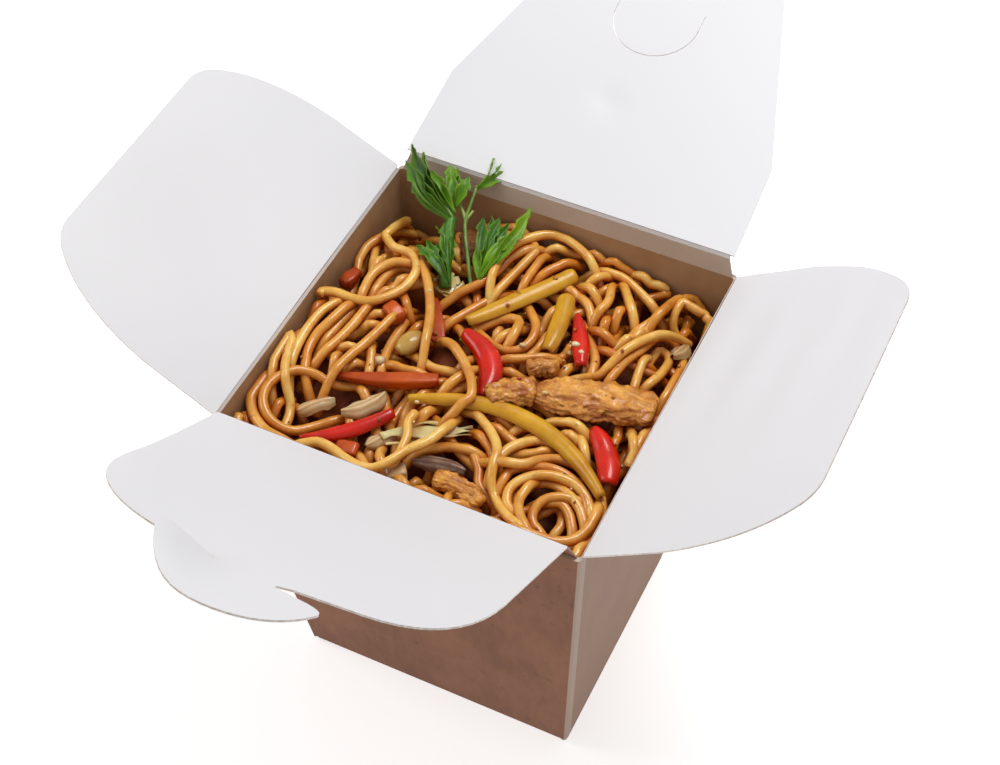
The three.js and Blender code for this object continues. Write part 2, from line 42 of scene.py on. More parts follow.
BOARD = 0.5
RIM_Z = 114.0
TOP_X, TOP_Y = 100.0, 98.9
BASE_X, BASE_Y = 81.9, 71.0
RISER_H, RISER_LEAN, RISER_END = 5.0, 1.5, 3.0
SIDE_HINGE_X, SIDE_HINGE_Z = TOP_X / 2 + 0.2, RIM_Z + 0.7
END_HINGE_Y, END_HINGE_Z = TOP_Y / 2 + RISER_LEAN + 0.2, RIM_Z + RISER_H + 0.7
HEAP_Z = 109.0
CORE_DEPTH = 4.3
FOOD_GAP = 0.35
HIGHEST_Z = 113.4          # food other than the parsley stays under the closed side flaps

NOODLE_R = 1.45            # of a round noodle; the six-sided ones of the solids are thicker

# ---------------------------------------------------------------- camera

IMAGE_W = 1000
FOCAL_PX = 1923.1
OPTICAL_CENTRE = (500.9, 382.55)
AZIMUTH, ELEVATION, ROLL = (math.radians(a) for a in (27.004, 50.213, -1.475))
DISTANCE, MOVE_RIGHT, MOVE_UP = 490.79, 4.41, -9.26


def camera_frame():
    """The camera's right, up and backward directions and its place, in millimetres."""
    back = np.array([
        math.sin(AZIMUTH) * math.cos(ELEVATION),
        -math.cos(AZIMUTH) * math.cos(ELEVATION),
        math.sin(ELEVATION),
    ])
    level = np.cross(-back, UP)
    level /= np.linalg.norm(level)
    upright = np.cross(level, -back)
    right = level * math.cos(ROLL) + upright * math.sin(ROLL)
    up = -level * math.sin(ROLL) + upright * math.cos(ROLL)
    place = back * DISTANCE + right * MOVE_RIGHT + up * MOVE_UP + UP * RIM_Z
    return right, up, back, place


RIGHT, CAM_UP, BACK, EYE = camera_frame()


def make_camera():
    data = bpy.data.cameras.new("camera")
    data.sensor_width = 36.0
    data.lens = FOCAL_PX * data.sensor_width / IMAGE_W
    data.clip_start, data.clip_end = 0.01, 10.0
    camera = bpy.data.objects.new("camera", data)
    turn = Matrix([[*row] for row in np.array([RIGHT, CAM_UP, BACK]).T]).to_4x4()
    camera.matrix_world = Matrix.Translation(Vector(EYE * MM)) @ turn
    bpy.context.scene.collection.objects.link(camera)
    bpy.context.scene.camera = camera


def seen_at(pixel, z):
    """The point at height z that the camera sees at a pixel of the 1000 x 765 frame."""
    px, py = pixel
    ray = (RIGHT * (px - OPTICAL_CENTRE[0]) + CAM_UP * (OPTICAL_CENTRE[1] - py)) / FOCAL_PX - BACK
    return EYE + ray * ((z - EYE[2]) / ray[2])


# ---------------------------------------------------------------- meshes

def mesh_object(name, vertices, faces, *materials, smooth=True):
    """A mesh object from vertices in millimetres."""
    mesh = bpy.data.meshes.new(name)
    mesh.from_pydata((np.asarray(vertices) * MM).tolist(), [], [list(f) for f in faces])
    mesh.validate()
    mesh.polygons.foreach_set("use_smooth", [smooth] * len(mesh.polygons))
    for material in materials:
        mesh.materials.append(material)
    piece = bpy.data.objects.new(name, mesh)
    bpy.context.scene.collection.objects.link(piece)
    return piece


def resampled(points, step):
    """Points at equal distances along a polyline."""
    points = np.asarray(points, float)
    lengths = np.r_[0, np.cumsum(np.linalg.norm(np.diff(points, axis=0), axis=1))]
    count = max(3, int(round(lengths[-1] / step)) + 1)
    at = np.linspace(0, lengths[-1], count)
    return np.stack([np.interp(at, lengths, points[:, k]) for k in range(points.shape[1])], 1)


def smooth_route(points, step=1.2):
    """A Catmull-Rom curve through a few points, sampled at equal distances."""
    p = np.asarray(points, float)
    p = np.vstack([2 * p[0] - p[1], p, 2 * p[-1] - p[-2]])
    u = np.linspace(0, 1, 12, endpoint=False)[:, None]
    pieces = []
    for a, b, c, d in zip(p[:-3], p[1:-2], p[2:-1], p[3:]):
        pieces.append(0.5 * (2 * b + (c - a) * u + (2 * a - 5 * b + 4 * c - d) * u**2
                             + (3 * b - a - 3 * c + d) * u**3))
    return resampled(np.vstack([*pieces, p[-2:-1]]), step)


def directions(path):
    ahead = np.gradient(path, axis=0)
    return ahead / np.maximum(np.linalg.norm(ahead, axis=1, keepdims=True), 1e-9)


def circle(sides):
    """Angles at equal steps round a circle."""
    return np.linspace(0, 2 * math.pi, sides, endpoint=False)


def cross_axes(path):
    """The directions across and over a path at each point, without twist against the vertical."""
    ahead = directions(path)
    side = np.cross(ahead, UP)
    side /= np.maximum(np.linalg.norm(side, axis=1, keepdims=True), 1e-6)
    return side, np.cross(side, ahead)


def ring_faces(rings, sides):
    """Quads between successive rings, and one face over each end."""
    faces = []
    last = (rings - 1) * sides
    for a in range(0, last, sides):
        for k in range(sides):
            n = (k + 1) % sides
            faces.append((a + k, a + k + sides, a + n + sides, a + n))
    return faces + [tuple(range(sides)), tuple(last + k for k in reversed(range(sides)))]


def sheet_faces(rows, columns):
    """Faces of a thin sheet: a grid of points, the same grid again below it, and the rim between."""
    at = np.arange(rows * columns).reshape(rows, columns)
    quads = np.stack([at[:-1, :-1], at[:-1, 1:], at[1:, 1:], at[1:, :-1]], -1).reshape(-1, 4)
    rim = np.r_[at[0], at[1:, -1], at[-1, -2::-1], at[-2:0:-1, 0]]
    after = np.roll(rim, -1)
    below = at.size
    return [*quads, *(quads[:, [0, 3, 2, 1]] + below), *np.stack([after, rim, rim + below, after + below], 1)]


class Parts:
    """Points, faces and point attributes, gathered for one piece."""

    def __init__(self):
        self.points, self.faces, self.attributes, self.count = [], [], {}, 0

    def add(self, points, faces, **attributes):
        """Points and the faces between them; an attribute's value or row of values is repeated."""
        self.points.append(points)
        self.faces += [tuple(i + self.count for i in face) for face in faces]
        self.count += len(points)
        for name, values in attributes.items():
            self.attributes.setdefault(name, []).append(np.resize(values, len(points)))

    def tube(self, path, radii, sides, **attributes):
        """A round tube along a path."""
        side, top = cross_axes(path)
        angle = circle(sides)[None, :, None]
        offsets = np.cos(angle) * side[:, None] + np.sin(angle) * top[:, None]
        rings = path[:, None] + radii[:, None, None] * offsets
        self.add(rings.reshape(-1, 3), ring_faces(len(path), sides), **attributes)

    def sweep(self, path, section_at, twist=0.0, skin=1.0):
        """A strip whose section follows a path: section_at(u) gives its offsets across and up."""
        side, top = cross_axes(path)
        rings = []
        for i, u in enumerate(np.linspace(0, 1, len(path))):
            across, up = section_at(u)
            turn = math.radians(twist) * (u - 0.5)
            a = across * math.cos(turn) - up * math.sin(turn)
            b = across * math.sin(turn) + up * math.cos(turn)
            rings.append(path[i] + a[:, None] * side[i] + b[:, None] * top[i])
        self.add(np.vstack(rings), ring_faces(len(path), len(across)), skin=skin)
        return self

    def build(self, name, material):
        piece = mesh_object(name, np.vstack(self.points), self.faces, material)
        for key, rows in self.attributes.items():
            attribute = piece.data.attributes.new(key, "FLOAT", "POINT")
            attribute.data.foreach_set("value", np.concatenate(rows).astype(np.float32))
        return piece


# ---------------------------------------------------------------- materials

class Shader:
    """A small helper to build one procedural material."""

    def __init__(self, name):
        self.material = bpy.data.materials.new(name)
        self.material.use_nodes = True
        self.tree = self.material.node_tree
        self.shader = self.tree.nodes["Principled BSDF"]
        self.place = self.node("TexCoord").outputs["Object"]

    def feed(self, socket, value):
        """Links a socket to another node's output, or gives it a value."""
        if isinstance(value, bpy.types.NodeSocket):
            self.tree.links.new(value, socket)
        elif socket.type == "RGBA":
            socket.default_value = (*value[:3], 1)
        else:
            socket.default_value = value

    def node(self, kind, inputs=(), **settings):
        """A node with its settings, and its inputs by name or number."""
        made = self.tree.nodes.new("ShaderNode" + kind)
        for key, value in settings.items():
            setattr(made, key, value)
        for key, value in dict(inputs).items():
            self.feed(made.inputs[key], value)
        return made

    def stretched(self, scale):
        return self.node("Mapping", {"Vector": self.place, "Scale": scale}).outputs["Vector"]

    def noise(self, scale, detail=3.0, roughness=0.5, place=None, distortion=0.0):
        inputs = {"Scale": scale, "Detail": detail, "Roughness": roughness, "Distortion": distortion}
        return self.node("TexNoise", {**inputs, "Vector": place or self.place}).outputs["Fac"]

    def ramp(self, value, dark, light, low=0.3, high=0.7):
        """From the dark colour, where the value is low or less, to the light one, where it is high."""
        made = self.node("ValToRGB", {"Fac": value})
        for element, at, colour in zip(made.color_ramp.elements, (low, high), (dark, light)):
            element.position = at
            element.color = (*np.resize(colour, 3), 1)
        return made.outputs["Color"]

    def mask(self, value, low, high):
        return self.ramp(value, 0.0, 1.0, low, high)

    def mix(self, share, first, second, mode="MIX"):
        inputs = {0: share, 6: first, 7: second}
        return self.node("Mix", inputs, data_type="RGBA", blend_type=mode).outputs[2]

    def maths(self, operation, first, second=0.5, clamp=False):
        return self.node("Math", {0: first, 1: second}, operation=operation, use_clamp=clamp).outputs[0]

    def attribute(self, name):
        return self.node("Attribute", attribute_name=name).outputs["Fac"]

    def covered(self, colour, mask, strength, other, mode="MIX"):
        """The colour with another over it, as strongly as the mask says."""
        return self.mix(self.maths("MULTIPLY", mask, strength, True), colour, other, mode)

    def tinted(self, colour, mask, strength, tint):
        """The colour multiplied with a tint, as strongly as the mask says."""
        return self.covered(colour, mask, strength, tint, "MULTIPLY")

    def painted_crevice_shade(self, colour, dark, reach, strength=1.0):
        """The colour, turned darker with painted shade where the surface lies close to others."""
        occlusion = self.node("AmbientOcclusion", {"Distance": reach * MM}, samples=6)
        hidden = self.maths("SUBTRACT", 1.0, occlusion.outputs["AO"], True)
        return self.tinted(colour, hidden, strength, dark)

    def bump(self, height, strength, distance):
        inputs = {"Height": height, "Strength": strength, "Distance": distance * MM}
        self.set(Normal=self.node("Bump", inputs).outputs["Normal"])

    def set(self, **values):
        """Sets or links inputs of the shader; their names have _ for a space here."""
        for key, value in values.items():
            self.feed(self.shader.inputs[key.replace("_", " ")], value)
        return self.material


def kraft_colour(s, dark, light):
    """Uncoated brown board: clouds, fine fibres and scattered dark flecks."""
    clouds = s.noise(40, 4)
    fibres = s.noise(420, 3, 0.6, s.stretched((1, 1, 0.22)), 0.6)
    tone = s.maths("ADD", s.maths("MULTIPLY", clouds, 0.6), s.maths("MULTIPLY", fibres, 0.4))
    colour = s.ramp(tone, dark, light, 0.36, 0.64)
    s.bump(fibres, 0.25, 0.12)
    return s.covered(colour, s.mask(s.noise(330, 1, 0.3), 0.69, 0.74), 0.3, [0.35 * c for c in dark])


def kraft_board():
    s = Shader("kraft")
    colour = kraft_colour(s, (0.20, 0.105, 0.058), (0.31, 0.18, 0.11))
    return s.set(Base_Color=colour, Roughness=0.72, Specular_IOR_Level=0.3)


FOLD_BAND = 3.0            # the paler strip of a side wall along its upright fold


def carton_board():
    """Kraft board with a painted sheen on its side walls and pale cut edges on top; inside the box it is
    greyer, as white coated board in painted shade with a painted warm reflection of the noodles, lighter on
    the riser.
    """
    s = Shader("carton_board")
    outside = kraft_colour(s, (0.175, 0.058, 0.019), (0.25, 0.092, 0.036))
    # Painted shade: the white coated inside of the box is coloured grey-brown as it looks in shade, warmed by
    # a painted reflection of the noodles.
    inside = s.ramp(s.noise(60, 4, 0.6), (0.36, 0.205, 0.10), (0.48, 0.30, 0.165))
    geometry = s.node("NewGeometry").outputs
    outward = s.node("VectorMath", {0: geometry["Position"], 1: (1, 1, 0)}, operation="MULTIPLY").outputs[0]
    facing = s.node("VectorMath", {0: outward, 1: geometry["Normal"]}, operation="DOT_PRODUCT")
    normal, place = (s.node("SeparateXYZ", {0: geometry[name]}).outputs for name in ("Normal", "Position"))
    slope = (TOP_Y - BASE_Y) / RIM_Z / 2
    corner_y = s.maths("ADD", s.maths("MULTIPLY", place["Z"], slope), (BASE_Y / 2 - FOLD_BAND) * MM)
    near_corner = s.maths("GREATER_THAN", s.maths("ABSOLUTE", place["Y"]), corner_y)
    on_side = s.maths("GREATER_THAN", s.maths("ABSOLUTE", normal["X"]), 0.5)
    # Painted sheen: the side walls are lighter and greyer, as the light falls on them.
    outside = s.covered(outside, on_side, 0.42, (0.35, 0.245, 0.17))
    outside = s.covered(outside, s.maths("MULTIPLY", near_corner, on_side), 0.45, (0.48, 0.39, 0.32))
    # Painted light: the riser above the rim is lighter, being less deep in shade.
    on_riser = s.maths("GREATER_THAN", place["Z"], RIM_Z * MM)
    inside = s.covered(inside, on_riser, 0.6, (0.66, 0.58, 0.51))
    colour = s.mix(s.maths("LESS_THAN", facing.outputs["Value"], 0.0), outside, inside)
    edge = s.ramp(s.noise(700, 2), (0.50, 0.37, 0.28), (0.72, 0.62, 0.54))
    colour = s.mix(s.maths("GREATER_THAN", normal["Z"], 0.9), colour, edge)
    return s.set(Base_Color=colour, Roughness=0.62, Specular_IOR_Level=0.35)


def coated_board():
    """White coated board with a soft gloss and a very fine grain."""
    s = Shader("coated_board")
    colour = s.ramp(s.noise(9, 2), (0.775, 0.765, 0.785), (0.815, 0.805, 0.82))
    s.bump(s.noise(900, 2), 0.05, 0.05)
    return s.set(Base_Color=colour, Roughness=0.5, Coat_Weight=0.1, Coat_Roughness=0.25)


def cut_edge():
    s = Shader("cut_edge")
    return s.set(Base_Color=s.ramp(s.noise(900, 2), (0.62, 0.52, 0.45), (0.88, 0.83, 0.79)), Roughness=0.8)


def noodle_material():
    """Wheat noodle in sauce with painted light and shade: paler on top and deep orange at its sides, darker
    low in the heap from sauce and painted shade, and painted shade in its crevices.
    """
    s = Shader("noodle")
    blotch = s.noise(120, 4, 0.65)
    pale = s.ramp(blotch, (0.82, 0.41, 0.045), (0.99, 0.68, 0.19))
    brown = s.ramp(blotch, (0.58, 0.18, 0.008), (0.84, 0.35, 0.032))
    colour = s.mix(s.attribute("tone"), pale, brown)
    # Painted light and shade: a noodle's sides are tinted deeper orange and its top left paler, as light from
    # above falls.
    colour = s.tinted(colour, s.maths("SUBTRACT", 1.0, s.attribute("upward")), 0.8, (0.78, 0.46, 0.14))
    colour = s.tinted(colour, s.mask(s.noise(80, 4, 0.65), 0.46, 0.66), 0.6, (0.74, 0.42, 0.12))
    colour = s.covered(colour, s.mask(s.noise(560, 1, 0.3), 0.71, 0.76), 0.4, (0.34, 0.08, 0.01))
    # Darker and browner low in the heap: partly sauce, partly painted shade.
    colour = s.covered(colour, s.attribute("depth"), 0.75, (0.36, 0.068, 0.004))
    # Painted shade in the crevices between noodles.
    colour = s.painted_crevice_shade(colour, (0.74, 0.27, 0.05), 3.5, 0.95)
    s.bump(s.noise(330, 4, 0.65), 0.35, 0.25)
    return s.set(Base_Color=colour, Roughness=s.ramp(s.noise(260, 2), 0.24, 0.42), Subsurface_Weight=0.15,
                 Subsurface_Scale=0.0015, Specular_IOR_Level=0.4, Coat_Weight=0.45, Coat_Roughness=0.10)


def sauce_material():
    """Dark sauce and shade at the bottom of the gaps between noodles."""
    s = Shader("sauce")
    colour = s.ramp(s.noise(160, 4, 0.65), (0.12, 0.020, 0.003), (0.26, 0.055, 0.008), 0.35)
    s.bump(s.noise(240, 3, 0.6), 0.6, 0.8)
    return s.set(Base_Color=colour, Roughness=0.5, Specular_IOR_Level=0.15)


def vegetable(name, dark, light, flesh=None, roughness=0.28, gloss=0.25, through=0.15, scale=90):
    """A moist cut vegetable, with painted shade in its crevices. The attribute skin is 1 on its skin and 0 on
    its cut flesh.
    """
    s = Shader(name)
    colour = s.ramp(s.noise(scale, 4, 0.6), dark, light, 0.32, 0.68)
    if flesh:
        colour = s.mix(s.attribute("skin"), flesh, colour)
    colour = s.tinted(colour, s.mask(s.noise(70, 3, 0.6), 0.50, 0.72), 0.4, (0.70, 0.40, 0.14))
    # Painted shade where the piece lies close to other food.
    colour = s.painted_crevice_shade(colour, (0.44, 0.20, 0.08), 3.0)
    rough = s.ramp(s.noise(300, 2), roughness, roughness + 0.15)
    s.bump(s.noise(260, 4, 0.6), 0.4, 0.3)
    return s.set(Base_Color=colour, Roughness=rough, Subsurface_Weight=through, Subsurface_Scale=0.002,
                 Specular_IOR_Level=0.3, Coat_Weight=gloss, Coat_Roughness=0.10)


def fried_meat(name, dark, light, crust):
    """Fibrous meat, browned in patches, with painted shade in its crevices."""
    s = Shader(name)
    fibres = s.noise(230, 5, 0.7, s.stretched((0.45, 1, 1)), 1.5)
    colour = s.ramp(fibres, dark, light, 0.36, 0.62)
    colour = s.covered(colour, s.mask(s.noise(110, 4, 0.65), 0.48, 0.66), 0.6, crust)
    # Painted shade where the meat lies close to other food.
    colour = s.painted_crevice_shade(colour, (0.35, 0.16, 0.08), 2.5)
    s.bump(fibres, 0.9, 0.8)
    return s.set(Base_Color=colour, Roughness=0.36, Subsurface_Weight=0.1, Subsurface_Scale=0.002,
                 Specular_IOR_Level=0.35, Coat_Weight=0.3, Coat_Roughness=0.15)


def leaf_material():
    """Parsley leaf; the attribute shade is 0 on dark leaves and 1 on light ones."""
    s = Shader("parsley_leaf")
    clouds = s.noise(110, 4, 0.6)
    dark_leaf = s.ramp(clouds, (0.004, 0.045, 0.002), (0.022, 0.15, 0.004))
    light_leaf = s.ramp(clouds, (0.06, 0.22, 0.003), (0.25, 0.46, 0.012))
    colour = s.mix(s.attribute("shade"), dark_leaf, light_leaf)
    colour = s.covered(colour, s.attribute("edge"), 0.35, (0.26, 0.46, 0.03))
    s.bump(s.noise(380, 3), 0.6, 0.3)
    return s.set(Base_Color=colour, Roughness=0.40, Subsurface_Weight=0.12, Subsurface_Scale=0.001,
                 Specular_IOR_Level=0.35)


def stalk_material():
    """Parsley stalk; the attribute shade is 0 on the thick one and 1 on the thin, pale ones."""
    s = Shader("parsley_stalk")
    stripes = s.noise(220, 3, 0.6, s.stretched((1, 1, 0.15)))
    green = s.ramp(stripes, (0.02, 0.11, 0.004), (0.10, 0.27, 0.015))
    pale = s.ramp(stripes, (0.20, 0.33, 0.04), (0.52, 0.58, 0.18))
    s.bump(stripes, 0.5, 0.3)
    return s.set(Base_Color=s.mix(s.attribute("shade"), green, pale), Roughness=0.4,
                 Subsurface_Weight=0.1, Subsurface_Scale=0.001)


# ---------------------------------------------------------------- heap of noodles

def half_x(z):
    return (BASE_X + (TOP_X - BASE_X) * z / RIM_Z) / 2


def half_y(z):
    return (BASE_Y + (TOP_Y - BASE_Y) * z / RIM_Z) / 2


def swell(x, y, height, cx, cy, spread):
    return height * np.exp(-((x - cx) ** 2 + (y - cy) ** 2) / (2 * spread**2))


def heap_top(x, y):
    """Level of the heap's top, as in the solids."""
    return (HEAP_Z + swell(x, y, 1.2, -10, 5, 25) + swell(x, y, 2.2, -48, -14, 16)
            - swell(x, y, 14, -41, 44, 10) - swell(x, y, 9, 46, 46, 12) - swell(x, y, 2, 36, -36, 7))


def core_top(x, y):
    return heap_top(x, y) - CORE_DEPTH


FILL_FLOOR = 10.5          # the loose noodles reach this far below the heap's top
LOOSE_TOP = 0.3            # and their centre lines stay this far below it
STEP = 1.3                 # distance between the rings of a noodle
FAR = 1e9                  # stands for a height with nothing there


def as_balls(path, radius):
    return np.column_stack([path, np.full(len(path), radius)])


class Pile:
    """What lies in the box so far, as balls: some carry the next noodle, some lie above it."""

    def __init__(self):
        self.carrying = self.covering = self.toppings = np.empty((0, 4))

    def add(self, path, covering=False):
        """A noodle; where it is covering, it lies above the ones that come later."""
        balls = as_balls(path, NOODLE_R)
        over = np.broadcast_to(covering, len(path))
        self.carrying = np.vstack([self.carrying, balls[~over]])
        self.covering = np.vstack([self.covering, balls[over]])

    def add_topping(self, path, radius):
        self.toppings = np.vstack([self.toppings, as_balls(path, radius)])

    @staticmethod
    def reach(balls, xy):
        """For each point and ball, how far apart in height their centres are where they touch."""
        gap = balls[None, :, :2] - xy[:, None, :]
        room = (balls[None, :, 3] + NOODLE_R) ** 2 - (gap**2).sum(2)
        return room > 0, np.sqrt(np.maximum(room, 0))

    def support(self, xy, *others):
        """Lowest height of a noodle's centre line on what carries it."""
        rest = heap_top(*xy.T) - FILL_FLOOR + NOODLE_R
        balls = np.vstack([self.carrying, *others])
        if len(balls):
            near, rise = self.reach(balls, xy)
            rest = np.maximum(rest, np.where(near, balls[None, :, 2] + rise, -FAR).max(1))
        return rest

    def ceiling(self, xy, *covers):
        """Greatest height of a noodle's centre line under what covers it."""
        balls = np.vstack(covers)
        near, rise = self.reach(balls, xy)
        return np.where(near, balls[None, :, 2] - rise, FAR).min(1)


def draped(heights, spacing, bend_radius=9.0):
    """A noodle bends smoothly over what lifts it."""
    at = np.arange(len(heights)) * spacing
    sag = (at[:, None] - at[None, :]) ** 2 / (2 * bend_radius)
    eased = (heights[None, :] - sag).max(1)
    kernel = np.array([1, 2, 3, 4, 3, 2, 1]) / 16
    return np.convolve(np.pad(eased, 3, mode="edge"), kernel, "valid")


def kept_inside(path):
    """The path of a noodle, moved inwards where it would touch a wall."""
    for axis, half in enumerate((half_x, half_y)):
        reach = half(path[:, 2] - NOODLE_R) - BOARD - 0.1 - NOODLE_R
        path[:, axis] = np.clip(path[:, axis], -reach, reach)
    return path


def clear_of_walls(xy, z):
    """Which points of a noodle's path lie clear of the walls."""
    room = np.minimum(half_x(z) - abs(xy[:, 0]), half_y(z) - abs(xy[:, 1]))
    return room > BOARD + NOODLE_R


WALL_MARGIN = 2.6          # distance from the walls at which a wandering line is stopped
LOOK_AHEAD = 9.0           # the line turns back, with this radius, when the wall is this near


def wandering(rng, length, pile, choices):
    """A random noodle's line from above: its curvature drifts, and it turns back at the walls.

    It starts at the place where the pile is lowest, out of a few choices.
    """
    reach = np.array([half_x(HEAP_Z), half_y(HEAP_Z)]) - WALL_MARGIN
    places = rng.uniform(-1, 1, (choices, 2)) * reach
    place = places[(pile.support(places) - heap_top(*places.T)).argmin()]
    heading = rng.uniform(0, 2 * math.pi)
    curvature = rng.normal(0, 1 / 20)
    line = []
    for _ in range(int(length / STEP)):
        line.append(place)
        curvature = 0.94 * curvature + rng.normal(0, 0.012)
        ahead = np.array([math.cos(heading), math.sin(heading)])
        if (abs(place + LOOK_AHEAD * ahead) > reach).any():
            turn = math.copysign(1 / LOOK_AHEAD, curvature if curvature else 1)
            curvature = 0.6 * curvature + 0.4 * turn
        heading += curvature * STEP
        ahead = np.array([math.cos(heading), math.sin(heading)])
        place = np.clip(place + STEP * ahead, -reach, reach)
    return np.array(line)


ATTEMPTS = 900             # loose noodles that are tried
LONG_SHARE = 0.4           # the first of them are long ones, and the rest fill the gaps
LONG, SHORT = (60, 130), (16, 45)
LEAST_LENGTH = 9.0         # a shorter stretch of a loose noodle isn't used
SIDE_BY_SIDE = 2.1 * NOODLE_R
CLOSE_FIT = 0.8            # a noodle may stand this far into what covers it before it is pressed down
LOOSE_END = (6, 4)         # length and depth of the dive at the ends of a loose noodle


def fill_heap(pile, rng):
    """Loose noodles from the bottom up, one to three side by side, under what covers them."""
    strands = []
    for attempt in range(ATTEMPTS):
        long_one = attempt < LONG_SHARE * ATTEMPTS
        length = rng.uniform(*(LONG if long_one else SHORT))
        line = resampled(wandering(rng, length, pile, 2 if long_one else 12), STEP)
        tone = rng.uniform(0, 1)
        for side in range(rng.integers(1, 4)):
            ahead = directions(line)
            shifted = line + np.stack([-ahead[:, 1], ahead[:, 0]], 1) * side * SIDE_BY_SIDE
            z = draped(pile.support(shifted), STEP, 4.0)
            ceiling = np.minimum(heap_top(*shifted.T) - LOOSE_TOP,
                                 pile.ceiling(shifted, pile.covering, pile.toppings))
            free = (z < ceiling + CLOSE_FIT) & clear_of_walls(shifted, z)
            for run in long_runs(free, int(LEAST_LENGTH / STEP)):
                path = np.column_stack([shifted, np.minimum(z, ceiling + 0.3)])[run]
                path = np.vstack([dive(path[::-1], *LOOSE_END)[::-1], path, dive(path, *LOOSE_END)])
                path = path[clear_of_walls(path, path[:, 2])]
                pile.add(path)
                strands.append((path, tone))
    return strands


def long_runs(flags, least):
    """The unbroken stretches of true flags that have at least so many, as slices."""
    edges = np.flatnonzero(np.diff(np.r_[0, flags.astype(int), 0]))
    return [slice(int(a), int(b)) for a, b in zip(edges[::2], edges[1::2]) if b - a >= least]


def on_ray(points, z):
    """Points moved along the camera's rays to heights z."""
    ray = points - EYE
    return EYE + ray * ((z - EYE[2]) / ray[:, 2])[:, None]


def dive(path, length=11.0, depth=8.0):
    """The hidden end of a noodle: it goes on from the path's last point, down into the heap."""
    ahead = path[-1, :2] - path[-4, :2]
    before = path[-4, :2] - path[-7, :2] if len(path) > 7 else ahead
    heading = math.atan2(ahead[1], ahead[0])
    turn = heading - math.atan2(before[1], before[0])
    turn = np.clip((turn + math.pi) % (2 * math.pi) - math.pi, -0.3, 0.3) / 3
    points = []
    x, y, z = path[-1]
    count = int(length / STEP)
    for i in range(1, count + 1):
        heading += turn
        x, y = x + STEP * math.cos(heading), y + STEP * math.sin(heading)
        points.append((x, y, z - depth * (i / count) ** 1.6))
    return np.array(points)


def seen_noodle(pile, pixels, lift, ends, over_toppings):
    """A noodle that the camera sees: each pixel is put on the heap at the right height."""
    marks = np.array([(*p, 0)[:3] for p in pixels], float)
    highest = HIGHEST_Z - NOODLE_R
    z = np.full(len(marks), HEAP_Z)
    for _ in range(12):
        flat = np.array([seen_at(m[:2], h) for m, h in zip(marks, z)])
        x, y = (np.clip(flat[:, k], -half(108), half(108)) for k, half in enumerate((half_x, half_y)))
        z = np.minimum(0.5 * z + 0.5 * (heap_top(x, y) + lift + marks[:, 2]), highest)
    flat[:, 2] = z
    path = kept_inside(smooth_route(flat, STEP))
    for _ in range(3):
        if over_toppings:
            height = np.maximum(pile.support(path[:, :2], pile.covering, pile.toppings), path[:, 2])
        else:
            height = np.maximum(pile.support(path[:, :2], pile.covering), path[:, 2])
            height = -draped(-np.minimum(height, pile.ceiling(path[:, :2], pile.toppings)), STEP)
        path = kept_inside(on_ray(path, np.clip(draped(height, STEP), None, highest)))
    before = dive(path[::-1])[::-1] if "start" in ends else path[:0]
    after = dive(path) if "end" in ends else path[:0]
    seen = np.r_[np.zeros(len(before), bool), np.ones(len(path), bool), np.zeros(len(after), bool)]
    path = kept_inside(np.vstack([before, path, after]))
    pile.add(path, seen)
    return path


